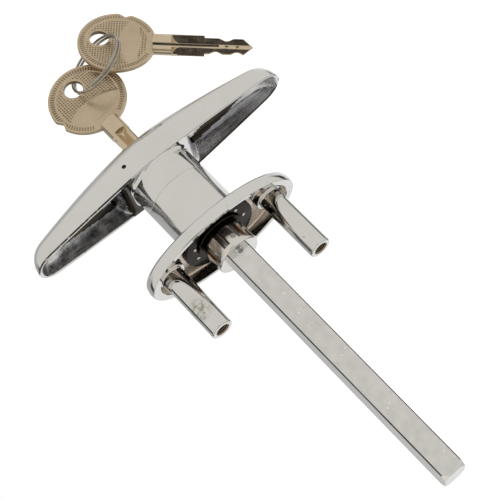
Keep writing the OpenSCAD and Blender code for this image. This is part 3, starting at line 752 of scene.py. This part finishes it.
def pocket_half_w(z):
    """Half the hollow's width, with round corners next to the neck and a round end at the tip."""
    half_w = bar_half_w(z)
    full = half_w - min(BAR_WALL, POCKET_WALL_SHARE * half_w)
    into = max(0.0, abs(z) - POCKET_START)
    past = max(0.0, abs(z) - POCKET_END + POCKET_TIP) / POCKET_TIP
    if past > 0:
        widest = bar_half_w(POCKET_END - POCKET_TIP) - BAR_WALL
        end = widest * sqrt(max(0.0, 1 - past ** POCKET_TIP_POWER))
        return max(POCKET_LEAST_SHARE * half_w, min(full, end))
    if into >= POCKET_ROUND:
        return full
    corner = bar_half_w(POCKET_START) - BAR_WALL - POCKET_ROUND
    return min(full, corner + sqrt(POCKET_ROUND ** 2 - (POCKET_ROUND - into) ** 2))


def pocket_deep(z):
    """Depth of the hollow in the bar's back, with sloping ends."""
    inner = min(1.0, max(0.0, abs(z) - POCKET_START) / POCKET_NECK_SLOPE)
    outer = min(1.0, max(0.0, POCKET_END - abs(z)) / POCKET_TIP_SLOPE)
    share = inner ** 2 * sin(pi / 2 * outer)
    return max(0.0, bar_height(z) - BAR_SKIN) * share


def hollow_depth(x, z):
    """Depth of the hollow's wall and floor below the bar's back."""
    across = min(1.0, abs(x) / pocket_half_w(z))
    return pocket_deep(z) * (1 - across ** POCKET_POWER) ** (1 / POCKET_POWER)


def ripple(x, z):
    """Lengthwise ripple of the casting in the hollow."""
    return RIPPLE * noise.noise(Vector((RIPPLE_ACROSS * x, 0.0, RIPPLE_ALONG * z)))


def bar_section(z, outer=56, inner=84):
    """Closed outline across the bar: crown, rounded back edges, rim and hollow."""
    half_w, height = bar_half_w(z), bar_height(z)
    lip = min(BAR_EDGE, EDGE_SHARE * half_w, EDGE_SHARE * height)
    points = []
    for i in range(outer + 1):
        a = pi * i / outer
        y = BAR_BACK - lip - (height - lip) * abs(sin(a)) ** (2 / BAR_POWER)
        points.append((half_w * power(cos(a), 2 / BAR_POWER), y))
    points += [(-half_w + lip + x, BAR_BACK - lip + y) for x, y in arc(0, 0, lip, 180, 90)][1:]
    in_w, deep = pocket_half_w(z), pocket_deep(z)
    edge = min(POCKET_EDGE, EDGE_SHARE * in_w)
    points.append((-in_w - edge, BAR_BACK))
    for i in range(inner + 1):
        a = pi / 2 * (1 - cos(pi * i / inner))
        x = -in_w * power(cos(a), 2 / POCKET_POWER)
        sunk = min(edge, deep) + max(0.0, deep - edge) * abs(sin(a)) ** (2 / POCKET_POWER)
        sunk += ripple(x, z) * smooth((sunk - RIPPLE_START) / RIPPLE_RUN)
        points.append((x, BAR_BACK - sunk))
    points.append((in_w + edge, BAR_BACK))
    points += [(half_w - lip + x, BAR_BACK - lip + y) for x, y in arc(0, 0, lip, 90, 0)][:-1]
    return points


def bar_stations(count=150, end_steps=14):
    """Places of the sections along the bar, closer at the tips and at the ends of the hollows."""
    steps = [BAR_HALF_L * sin(pi / 2 * i / count) for i in range(1 - count, count)]
    ends = ((POCKET_START, POCKET_NECK_SLOPE), (POCKET_END - POCKET_TIP_SLOPE, POCKET_TIP_SLOPE))
    for side in (-1, 1):
        for start, run in ends:
            steps += [side * (start + run * i / end_steps) for i in range(end_steps + 1)]
    steps.sort()
    last = steps[-1]
    inner = [b for a, b in zip(steps, steps[1:-1]) if b - a > STATION_GAP and last - b > STATION_GAP]
    return [steps[0]] + inner + [last]


def hollow_finish(p, deep):
    """By the neck a painted highlight on the -Z wing and painted shade on the +Z wing, a strip of painted
    shade low on the walls, and rough casting elsewhere, painted darker as shade on the +Z wing.
    """
    # By the neck: a painted highlight on the -Z wing, painted shade on the +Z wing.
    if abs(p.z) < POCKET_START + NECK_PATCH + PATCH_WAVE * noise_at(p, PATCH_GRAIN):
        return BRIGHT_AND_HIGHLIGHT if p.z < 0 else BLACK_SHADE_CAST
    # Painted shade: a dark strip low on the walls of both hollows.
    below = deep - STRIP_TOP_DEEP - STRIP_WAVE * noise_at(p, STRIP_GRAIN)
    if abs(p.x) > WALL_START * pocket_half_w(p.z) and 0 < below < SHADE_STRIP:
        return BLACK_SHADE_CAST
    # Painted shade: the +Z wing's casting is darker than the -Z wing's.
    return SHADE_CAST if p.z > 0 else CAST


def bar_finish(p):
    """Chrome outside, casting in the hollows, painted shade on the land by the neck and along one far rim,
    and chips along one near rim.
    """
    deep = BAR_BACK - p.y
    half_w = bar_half_w(p.z)
    hollow = POCKET_START < abs(p.z) < POCKET_END and abs(p.x) < pocket_half_w(p.z)
    if hollow and RIM_DEEP < deep < hollow_depth(p.x, p.z) + FLOOR_SLACK:
        return hollow_finish(p, deep)
    # Painted shade on the land by the neck, on the +Z wing only.
    if LAND_START < p.z < POCKET_START + LAND_RUN and deep < RIM_DEEP and abs(p.x) < half_w - BAR_EDGE:
        return LAND_SHADE
    # Painted shade along the far rim of the -Z wing.
    if p.z < -POCKET_START and p.x > half_w - BAR_WALL and deep < BAR_EDGE / 2:
        return CHIPS_AND_RIM_SHADE
    on_edge = p.x < BAR_EDGE - half_w and CHIP_TOP < deep < BAR_EDGE
    if on_edge and p.z > CHIP_START and noise_at(p, CHIP_GRAIN) > CHIP_LEVEL:
        return CHIPS_AND_RIM_SHADE
    return CHROME


def neck_fillet(a):
    """Fillet at the neck's foot, held inside the bar's width and clear of the hollows without a kink."""
    room = (BAR_HALF_W - NECK_SIDE_GAP) / max(TINY, abs(cos(a)))
    land = (POCKET_START - NECK_HOLLOW_GAP) / max(TINY, abs(sin(a)))
    limits = [NECK_FILLET] + [max(NECK_LEAST_FILLET, v - COLLAR_R) for v in (room, land)]
    return sum(v ** -NECK_FILLET_POWER for v in limits) ** (-1 / NECK_FILLET_POWER)


def neck_rings(count=240, steps=12):
    """Rings of the neck from the bar's back to the collar; the fillet varies round it."""
    turns = [TAU * i / count for i in range(count)]
    rings = []
    for k in range(steps + 1):
        b = radians(-90 - 90 * k / steps)
        ring = []
        for a in turns:
            f = neck_fillet(a)
            r = COLLAR_R + f + f * cos(b)
            ring.append((r * cos(a), BAR_BACK + f + f * sin(b) - NECK_SINK, r * sin(a)))
        rings.append(ring)
    front_y = COLLAR_FRONT - PARTING_ROUND - PARTING_GAP
    front = arc(COLLAR_R - PARTING_ROUND, front_y, PARTING_ROUND, 0, 90, 4)
    front.append((BORE_R - NECK_LAP, COLLAR_FRONT - PARTING_GAP))
    return rings + [oval(r, r, y, count=count) for r, y in front]


def make_handle():
    turned = Matrix.Rotation(radians(BAR_TURN), 4, "Y")
    finishes = (CHROME, CAST, CHIPS_AND_RIM_SHADE, BLACK_SHADE_CAST, BRIGHT_AND_HIGHLIGHT, LAND_SHADE, SHADE_CAST)
    bm = bmesh.new()
    skin(bm, [[(x, y, z) for x, y in bar_section(z)] for z in bar_stations()], caps=True)
    finish_faces(bm, finishes, bar_finish)
    bm.transform(turned)
    bar = piece("t_bar", bm, "handle", finishes, ("t_handle",), sharp=40)
    bore(bar, CYLINDER_BORE_R, BAR_BACK - BAR_FRONT - CYLINDER_PAST, CYLINDER_SEAT, Matrix.Identity(4))
    across = Matrix.Translation((0, KEEPER_Y, KEEPER_Z)) @ Matrix.Rotation(TAU / 4, 4, "Z")
    bore(bar, KEEPER_R, -BAR_HALF_W - KEEPER_PAST, BAR_HALF_W + KEEPER_PAST, across)
    keep_flats(bar)

    bm = bmesh.new()
    skin(bm, neck_rings())
    bm.transform(turned)
    piece("handle_neck", bm, "handle", (CHROME,), ("t_handle",), sharp=40)


# Hub, spindle, washer and pin

def hub_radius(turn, base):
    """Radius of the fluted drum at a turn about the axis."""
    step = 360 / FLUTES
    off = (turn - FLUTE_TURN) % step - step / 2
    centre = base - FLUTE_DEEP + FLUTE_R
    side = centre * sin(radians(off))
    if abs(side) >= FLUTE_R:
        return base
    return min(base, centre * cos(radians(off)) - sqrt(FLUTE_R ** 2 - side ** 2))


def hub_profile():
    """Radius, y and share of the flutes' depth, from the flange to the disc at the end."""
    rear = HUB_FOOT + FLANGE_T
    flange = [(WASHER_BORE_R - HUB_LAP, HUB_FOOT)]
    flange += rounded(FLANGE_R, HUB_FOOT, FLANGE_FRONT_EDGE, -1, 3)
    flange += rounded(FLANGE_R, rear, FLANGE_REAR_EDGE, 1, 3)
    flange += [(HUB_NECK_R, rear), (HUB_NECK_R, DRUM_FOOT)]
    drum = rounded(HUB_R, DRUM_FOOT, DRUM_EDGE, -1, 4)
    disc = rounded(HUB_R, HUB_END, HUB_EDGE, 1, 8)
    disc.append((SPINDLE_HALF * HUB_MOUTH_SHARE, HUB_END))
    profile = [(r, y, 0) for r, y in flange] + [(r, y, 1) for r, y in drum]
    profile += [(HUB_R, HUB_END - HUB_DISC + at, share) for at, share in FLUTE_FADE]
    return profile + [(r, y, 0) for r, y in disc]


def hub_finish(p):
    """Bright drum and disc, dark flange, painted shade in the flutes and copper showing along the flutes'
    edges.
    """
    if p.y < DRUM_FOOT:
        return BLACK_METAL
    reach = hypot(p.x, p.z)
    if reach > HUB_R - DRUM_SKIN or p.y > HUB_END - HUB_DISC + DISC_LAP:
        return HUB_METAL
    worn = reach > HUB_R - COPPER_DEEP and noise_at(p, COPPER_GRAIN) > COPPER_LEVEL
    return COPPER if worn else FLUTE_SHADE


def make_hub(count=360):
    finishes = (HUB_METAL, FLUTE_SHADE, BLACK_METAL, COPPER)
    rings = []
    for r, y, share in hub_profile():
        ring = []
        for i in range(count):
            turn = 360 * i / count
            radius = r + (min(r, hub_radius(turn, r)) - r) * share
            a = radians(turn)
            ring.append((-radius * cos(a), y, radius * sin(a)))
        rings.append(ring)
    bm = bmesh.new()
    skin(bm, rings, caps=True)
    finish_faces(bm, finishes, hub_finish)
    keep_flats(piece("hub_drum", bm, "handle", finishes, ("drive_hub",), sharp=38))


def stake_finish(p):
    """The dimple's floor is painted darker than its lip, as shade."""
    reach = hypot(p.y - STAKE_AT[1], p.z - STAKE_AT[2])
    return FLUTE_SHADE if reach < STAKE_FLOOR * STAKE_R else POST_CHROME


def make_stake(count=40):
    """Peened metal where the spindle leaves the hub: one low dimple with a bent lip."""
    finishes = (POST_CHROME, FLUTE_SHADE)
    x, y, z = STAKE_AT
    rings = []
    for share, lift in STAKE_PROFILE:
        ring = []
        for i in range(count):
            a = TAU * i / count
            bent = 1 + STAKE_BEND * noise.noise(Vector((cos(a), sin(a), share)))
            r = STAKE_R * max(share, STAKE_CENTRE) * bent
            ring.append((x - STAKE_H * lift, y + r * cos(a), z + r * sin(a)))
        rings.append(ring)
    bm = bmesh.new()
    skin(bm, rings, caps=True)
    finish_faces(bm, finishes, stake_finish)
    piece("spindle_stake", bm, "handle", finishes, ("drive_hub",), sharp=60)


def make_pin():
    """Cross pin whose ends lie flush with the drum."""
    bm = bmesh.new()
    profile = [(AXIS_R, -PIN_REACH), (PIN_R - PIN_EDGE, -PIN_REACH), (PIN_R, PIN_EDGE - PIN_REACH)]
    lathe(bm, profile + [(r, -y) for r, y in reversed(profile)], count=48)
    turn = Matrix.Rotation(radians(PIN_TURN), 4, "Y") @ Matrix.Rotation(TAU / 4, 4, "Z")
    bm.transform(Matrix.Translation((0, PIN_Y, 0)) @ turn)
    piece("pin_rod", bm, "handle", (PIN_METAL,), ("cross_pin",), sharp=30)


def spindle_finish(normal):
    """Plated flats, dark long edges and bright cut corners."""
    if min(abs(normal.x), abs(normal.z)) <= EDGE_LEAN:
        return SPINDLE_METAL
    return DARK_EDGE if abs(normal.y) < CORNER_LEAN else BRIGHT_AND_HIGHLIGHT


def make_spindle():
    """Square bar with broken, dark long edges, and its free end's corners cut away."""
    finishes = (SPINDLE_METAL, DARK_EDGE, BRIGHT_AND_HIGHLIGHT)
    bm = bmesh.new()
    half, edge = SPINDLE_HALF, SPINDLE_HALF - SPINDLE_EDGE
    outline = [(half, -edge), (half, edge), (edge, half), (-edge, half),
               (-half, edge), (-half, -edge), (-edge, -half), (edge, -half)]
    skin(bm, [[(x, y, z) for x, z in outline] for y in (SPINDLE_FOOT, SPINDLE_REACH)], caps=True)
    slope = radians(SPINDLE_SLOPE)
    for i in range(4):
        a = TAU * (i + 0.5) / 4
        out = Vector((cos(a), 0, sin(a)))
        at = out * (half * sqrt(2) - SPINDLE_CUT / 2) + Vector((0, SPINDLE_REACH, 0))
        facing = out * cos(slope) + Vector((0, sin(slope), 0))
        everything = bm.verts[:] + bm.edges[:] + bm.faces[:]
        made = bmesh.ops.bisect_plane(bm, geom=everything, plane_co=at, plane_no=facing, clear_outer=True)
        edges = [g for g in made["geom_cut"] if isinstance(g, bmesh.types.BMEdge)]
        bmesh.ops.contextual_create(bm, geom=edges)
    bm.normal_update()
    for face in bm.faces:
        face.material_index = finishes.index(spindle_finish(face.normal))
    piece("spindle_bar", bm, "handle", finishes, ("spindle",), sharp=10)


def washer_finish(p):
    """The tops of the pips carry a painted glint."""
    return PIP_GLINT if p.y > PIP_BASE + PIP_GLINT_SHARE * PIP_H else BLACK_METAL


def make_washer(dome_steps=8):
    finishes = (BLACK_METAL, PIP_GLINT)
    bm = bmesh.new()
    profile = rounded(WASHER_R, WASHER_FRONT, WASHER_FRONT_EDGE, -1, 3)
    profile += rounded(WASHER_R, WASHER_REAR, WASHER_REAR_EDGE, 1, 4)
    profile += [(WASHER_BORE_R, WASHER_REAR), (WASHER_BORE_R, WASHER_FRONT)]
    lathe(bm, profile, count=160, loop=True)
    rises = [TAU / 4 / dome_steps * i for i in range(dome_steps)]
    dome = [(PIP_R * cos(b), PIP_BASE + PIP_H * sin(b)) for b in rises]
    dome.append((AXIS_R, PIP_BASE + PIP_H))
    for turn in PIP_TURNS:
        a = radians(turn)
        lathe(bm, dome, PIP_REACH * cos(a), -PIP_REACH * sin(a), count=24)
    finish_faces(bm, finishes, washer_finish)
    piece("washer_disc", bm, "handle", finishes, ("retaining_washer",), sharp=40)


# Keys

def key_matrix(hole, turn):
    """Placement of a key whose ring hole lies at the given point."""
    rotation = Euler([radians(a) for a in turn], "XYZ").to_matrix()
    return Matrix.Translation(hole - rotation @ Vector((0, HOLE_Y, HOLE_Z))) @ rotation.to_4x4()


def bow_outline(turn):
    """Radius of the bow's edge at a turn from the blade, with its three-cornered notch."""
    turn = (turn + 180) % 360 - 180
    steep = (turn - BOW_NOTCH_STEEP) / (BOW_NOTCH_TURN - BOW_NOTCH_STEEP)
    long = (BOW_NOTCH_LONG - turn) / (BOW_NOTCH_LONG - BOW_NOTCH_TURN)
    return BOW_R - BOW_NOTCH_DEEP * max(0.0, min(steep, long))


def bow_relief(y, z, reverse):
    """Height of the bow's face against its rim: ribs, dimples, raised lines and a plain lens.

    The reverse face has a second dimpled field between the lens and the blade.
    """
    r = hypot(y, z)
    turn = degrees(atan2(z, y))
    field = BOW_R - BORDER
    if r > field:
        rim = smooth((bow_outline(turn) - RIB_OUT - r) / RIB_RUN) * smooth((r - field - RIB_IN) / RIB_RUN)
        groove = smooth(0.5 + RIB_SWING * cos(radians(turn * RIBS)))
        return -RIB_DEEP * rim * groove * (abs(turn) > RIB_GAP_TURN)
    edge = smooth((field - r) / FIELD_RUN)
    panel = PANEL_R - hypot(y - PANEL_Y, z - PANEL_Z)
    plain = hypot(y - PLAIN_Y, z - PANEL_Z) - PLAIN_R
    ridge = LINE_H * exp(-(panel / LINE_W) ** 2) * smooth(-plain / FIELD_RUN + 1)
    u = abs((y / DIMPLE_PITCH) % 1 - 0.5)
    v = abs((z / DIMPLE_PITCH) % 1 - 0.5)
    dimple = smooth((DIMPLE_HALF - max(u, v)) / DIMPLE_SIDE)
    off_border = smooth((field - r - FIELD_MARGIN) / FIELD_MARGIN)
    if panel > 0:
        ridge += 0.5 * LINE_H * exp(-(plain / LINE_W) ** 2)
        level = -edge * PANEL_DEEP * (1 - smooth(plain / PANEL_RUN + 0.5)) + edge * ridge
        if not reverse:
            return level
        second = smooth((plain + SECOND_LAP - FIELD_MARGIN) / FIELD_RUN) * off_border
        return level - (FIELD_DEEP + DIMPLE_DEEP * dimple) * second
    off_hole = smooth((hypot(y - HOLE_Y, z - HOLE_Z) - HOLE_R - HOLE_MARGIN) / HOLE_RUN)
    inside = smooth((-panel - FIELD_MARGIN) / FIELD_RUN) * off_border * off_hole
    return -edge * FIELD_DEEP + edge * ridge - DIMPLE_DEEP * dimple * inside


def bow_rings(across=560, steps=96):
    """Rings from the hole out over the reverse, round the edge and back to the hole over the front."""
    half = BOW_T / 2
    drops = {0.0: BOW_EDGE, HOLE_EDGE_SHARE: HOLE_EDGE, 1.0: BOW_EDGE}
    reliefs = [RELIEF_START + RELIEF_SPAN * i / steps for i in range(steps + 1)]
    faces = {1: [], -1: []}
    for side, rows in faces.items():
        for t in [0.0, HOLE_EDGE_SHARE] + reliefs + [1.0]:
            row = []
            for k in range(across):
                turn = 360 * k / across
                a = radians(turn)
                edge = bow_outline(turn)
                y = (HOLE_Y + HOLE_R * cos(a)) * (1 - t) + edge * cos(a) * t
                z = (HOLE_Z + HOLE_R * sin(a)) * (1 - t) + edge * sin(a) * t
                drop = drops[t] if t in drops else -bow_relief(y, z, side > 0)
                row.append((side * (half - drop), y, z))
            rows.append(row)
    return faces[1] + faces[-1][::-1]


def bow_finish(p):
    """Painted shade lies in the dimples, between the ribs and on the hole's wall."""
    if hypot(p.y - HOLE_Y, p.z - HOLE_Z) < HOLE_R + TOUCH:
        return THREAD_AND_HOLE_SHADE
    level = RIB_SHADE_LEVEL if hypot(p.y, p.z) > BOW_R - BORDER else DIMPLE_SHADE_LEVEL
    on_face = abs(p.x) > BOW_FACE_SHARE * BOW_T / 2
    return BOW_SHADE if on_face and bow_relief(p.y, p.z, p.x > 0) < level else NICKEL


def cut_depth(y, fin):
    """Depth of the cuts in a fin's edge at a distance y from the bow."""
    deep = 0.0
    for row, cuts in zip(CUT_ROWS, FIN_CUTS[fin]):
        off = max(0.0, abs(y - row) - CUT_FLOOR / 2)
        deep = max(deep, cuts * CUT_DEEP * (1 - off / CUT_SLOPE))
    return deep


def fin_radius(y, fin):
    """Radius over a fin's edge at a distance y from the bow."""
    run_out = SHANK_L - CUTTER_R / 2
    if y < run_out:
        return SHANK_R
    if y < SHANK_L:
        return SHANK_R + (FIN_WIDE_R - SHANK_R) * (y - run_out) / (SHANK_L - run_out)
    if y < FIN_STEP:
        return FIN_WIDE_R
    point = FIN_R * (BLADE_L - y) / FIN_POINT
    return max(POINT_R, min(FIN_R - cut_depth(y, fin), point))


def turn_between(turn, fin):
    """Turn from a fin to another turn, the short way round."""
    return abs((turn - fin + 180) % 360 - 180)


def blade_ring(y, count=192):
    """Section of the key at a distance y from the bow: a round shank that runs out into four fins."""
    root = FIN_T / sqrt(2)
    left = max(0.0, SHANK_L - y)
    valley = root + CUTTER_R - sqrt(CUTTER_R ** 2 - left ** 2) if left < CUTTER_R else 2 * SHANK_R
    points = []
    for i in range(count):
        turn = 360 * i / count
        fin = min(FIN_CUTS, key=lambda f: turn_between(turn, f))
        off = radians(turn_between(turn, fin))
        flank = FIN_T / 2 / max(TINY, sin(off))
        floor = valley / cos(pi / 4 - off)
        radius = min(fin_radius(y, fin), max(flank, floor))
        a = radians(turn)
        points.append((radius * cos(a), BOW_R + y, radius * sin(a)))
    return points


def blade_places(run_steps=28, cut_steps=110):
    """Places of the sections along the blade, closer at the run-out and along the cuts."""
    places = {-SHANK_LAP, SHANK_EDGE - SHANK_LAP, BLADE_L - BLADE_BLUNT}
    places |= {SHANK_L - CUTTER_R - STEP_GAP, FIN_STEP - STEP_GAP}
    places |= {SHANK_L - CUTTER_R * cos(TAU / 4 * i / run_steps) for i in range(run_steps + 1)}
    places |= {FIN_STEP + (BLADE_L - FIN_STEP) * i / cut_steps for i in range(cut_steps)}
    return sorted(places)


def make_key(prefix, body, place):
    finishes = (NICKEL, BOW_SHADE, THREAD_AND_HOLE_SHADE)
    bm = bmesh.new()
    skin(bm, bow_rings(), loop=True)
    finish_faces(bm, finishes, bow_finish)
    bm.transform(place)
    piece(prefix + "_bow_face", bm, body, finishes, (prefix + "_bow",), sharp=50)

    bm = bmesh.new()
    rings = [blade_ring(y) for y in blade_places()]
    shrink = 1 - SHANK_EDGE / SHANK_R
    first = [(x * shrink, y, z * shrink) for x, y, z in rings[0]]
    skin(bm, [first] + rings[1:], caps=True)
    bm.transform(place)
    piece(prefix + "_fins", bm, body, (BLADE_NICKEL,), (prefix + "_blade",), sharp=30)


# Split ring

def make_ring(first_hole, loop_steps=96, sides=16):
    """A coil of wire whose first key hangs at RING_FIRST."""
    rotation = Euler([radians(a) for a in RING_TURN], "XYZ").to_matrix()
    start = radians(RING_FIRST)
    reach = RING_R + FIRST_OUT
    first = Vector((reach * cos(start), reach * sin(start), FIRST_ALONG))
    centre = first_hole - rotation @ first
    count = round(RING_TURNS * loop_steps)
    rings = []
    for i in range(count + 1):
        a = radians(WIRE_START) + TAU * i / loop_steps
        rise = RING_PITCH * (RING_TURNS / 2 - i / loop_steps)
        wire = WIRE_R * (WIRE_END_SHARE if i in (0, count) else 1.0)
        ring = []
        for k in range(sides):
            b = TAU * k / sides
            r = RING_R + wire * cos(b)
            spot = Vector((r * cos(a), r * sin(a), rise + wire * sin(b)))
            ring.append(rotation @ spot + centre)
        rings.append(ring)
    bm = bmesh.new()
    skin(bm, rings, caps=True)
    piece("ring_wire_loop", bm, "ring", (WIRE_METAL,), ("key_ring",))


def joint_place(name):
    """A joint's point in millimetres."""
    return Vector(next(j for j in frame["joints"] if j["name"] == name)["pos_m"]) / MM


def dress(material, *nodes):
    """Gives CAD nodes their finished material."""
    for node in nodes:
        mesh = frame["nodes"][node].data
        mesh.materials.clear()
        mesh.materials.append(material)


make_plate()
make_handle()
make_hub()
make_stake()
make_washer()
make_pin()
make_spindle()
make_key("key_1", "first_key", key_matrix(joint_place("ring_swing"), FIRST_TURN))
make_key("key_2", "second_key", key_matrix(joint_place("second_key_swing"), SECOND_TURN))
make_ring(joint_place("ring_swing"))
dress(CYLINDER_METAL, "cylinder_body")
dress(BLACK_METAL, "keeper_pin")
dress(BRASS, "lock_plug", "key_pins", "driver_pins", "lock_cam")
dress(PIN_METAL, "tumbler_springs", "plug_clip", "locking_bolt")


# Camera, from the photograph's viewing angle

CAMERA_AT = (-420.8, 191.9, 93.9)
CAMERA_RIGHT = (0.1059, 0.6453, -0.7566)
CAMERA_UP = (-0.43, -0.6563, -0.62)
CAMERA_BACK = (-0.8966, 0.391, 0.2079)
LENS = 104.4
SENSOR = 36.0
CLIP_START = 10.0
CLIP_END = 10000.0


def make_camera():
    data = bpy.data.cameras.new("camera")
    data.lens = LENS
    data.sensor_width = SENSOR
    data.sensor_height = SENSOR
    data.sensor_fit = "HORIZONTAL"
    data.clip_start = CLIP_START * MM
    data.clip_end = CLIP_END * MM
    camera = add_object("camera", data)
    turn = Matrix((CAMERA_RIGHT, CAMERA_UP, CAMERA_BACK)).transposed()
    camera.matrix_world = Matrix.Translation(Vector(CAMERA_AT) * MM) @ turn.to_4x4()
    bpy.context.scene.camera = camera


# Studio: a pale tent round the front, a dark opening round the camera, a dark gap and a white backdrop

TENT_AXIS = (-0.9131, 0.3982, 0.0870)
WINDOW_SIDE = (0.0, 0.507, -0.862)
DOOR_SIDE = (0.0, -1.0, 0.0)
TENT = (0.76, 0.745, 0.705)
GAP = (0.035, 0.037, 0.043)
WHITE = (1, 1, 1, 1)
# Each stop is a share of the way from behind an axis to its front, and a value there
BACKDROP = ((0.25, 0.48), (0.45, 0.72), (0.65, 0.9))
TENT_EDGE = ((0.22, 0), (0.40, 1))
GAP_BAND = ((0.22, 0), (0.25, 1), (0.355, 1), (0.385, 0))
DOOR_EDGE = ((0.70, 1), (0.82, 0))
OPENING_EDGE = ((0.978, 0), (0.988, 1))
GROUND_HALF = 1500.0
GROUND_Z = -250.0
GROUND_COLOUR = (0.8, 0.8, 0.8, 1)
GROUND_GLOW = 0.6
LAMP_AT = (-500.0, 200.0, 700.0)
LAMP_SIZE = 600.0
LAMP_WATTS = 3.0


def towards(n, axis):
    """Share of a direction along an axis, from 0 behind to 1 in front."""
    place = n.add("ShaderNodeTexCoord")
    along = n.add("ShaderNodeVectorMath", operation="DOT_PRODUCT")
    n.join(place.outputs["Generated"], along.inputs[0])
    along.inputs[1].default_value = axis
    span = n.add("ShaderNodeMapRange")
    span.inputs["From Min"].default_value = -1.0
    n.join(along.outputs["Value"], span.inputs["Value"])
    return span.outputs["Result"]


def for_camera(n, other, seen):
    """One shader for what the camera sees directly, and another for every other ray."""
    ray = n.add("ShaderNodeLightPath")
    mix = n.add("ShaderNodeMixShader")
    n.join(ray.outputs["Is Camera Ray"], mix.inputs["Fac"])
    n.join(other, mix.inputs[1])
    n.join(seen, mix.inputs[2])
    return mix.outputs["Shader"]


def make_world():
    world = bpy.data.worlds.new("studio")
    bpy.context.scene.world = world
    world.use_nodes = True
    n = Nodes(world.node_tree)
    out = n.add("ShaderNodeOutputWorld")
    front = towards(n, TENT_AXIS)
    backdrop = fade(n, towards(n, WINDOW_SIDE), *BACKDROP)
    walls = blend_to(n, backdrop, TENT, fade(n, front, *TENT_EDGE))
    gap = times(n, fade(n, front, *GAP_BAND), fade(n, towards(n, DOOR_SIDE), *DOOR_EDGE))
    opening = fade(n, towards(n, CAMERA_BACK), *OPENING_EDGE)
    walls = blend_to(n, blend_to(n, walls, GAP, gap), GAP, opening)
    studio = n.add("ShaderNodeBackground", Strength=1.0)
    n.join(walls, studio.inputs["Color"])
    white = n.add("ShaderNodeBackground", Strength=1.0)
    white.inputs["Color"].default_value = WHITE
    seen = for_camera(n, studio.outputs["Background"], white.outputs["Background"])
    n.join(seen, out.inputs["Surface"])


def make_floor():
    """A pale floor that only the camera sees."""
    mesh = bpy.data.meshes.new("floor")
    half, level = GROUND_HALF * MM, GROUND_Z * MM
    corners = [(-half, -half, level), (half, -half, level), (half, half, level), (-half, half, level)]
    mesh.from_pydata(corners, [], [(0, 1, 2, 3)])
    floor = add_object("floor", mesh)
    material = bpy.data.materials.new("pale_floor")
    material.use_nodes = True
    n = Nodes(material.node_tree)
    out = n.add("ShaderNodeOutputMaterial")
    matte = n.add("ShaderNodeBsdfDiffuse")
    matte.inputs["Color"].default_value = GROUND_COLOUR
    glow = n.add("ShaderNodeEmission", Strength=GROUND_GLOW)
    both = n.add("ShaderNodeAddShader")
    n.join(matte.outputs["BSDF"], both.inputs[0])
    n.join(glow.outputs["Emission"], both.inputs[1])
    clear = n.add("ShaderNodeBsdfTransparent")
    n.join(for_camera(n, clear.outputs["BSDF"], both.outputs["Shader"]), out.inputs["Surface"])
    mesh.materials.append(material)


def make_light():
    """One soft lamp for the shadow; the tent gives the reflections."""
    data = bpy.data.lights.new("soft_lamp", "AREA")
    data.size = LAMP_SIZE * MM
    data.energy = LAMP_WATTS
    lamp = add_object("soft_lamp", data)
    lamp.location = [v * MM for v in LAMP_AT]
    lamp.rotation_euler = (-lamp.location).to_track_quat("-Z", "Y").to_euler()
    lamp.visible_glossy = False


make_camera()
make_world()
make_floor()
make_light()
bpy.context.scene.view_settings.view_transform = "Standard"
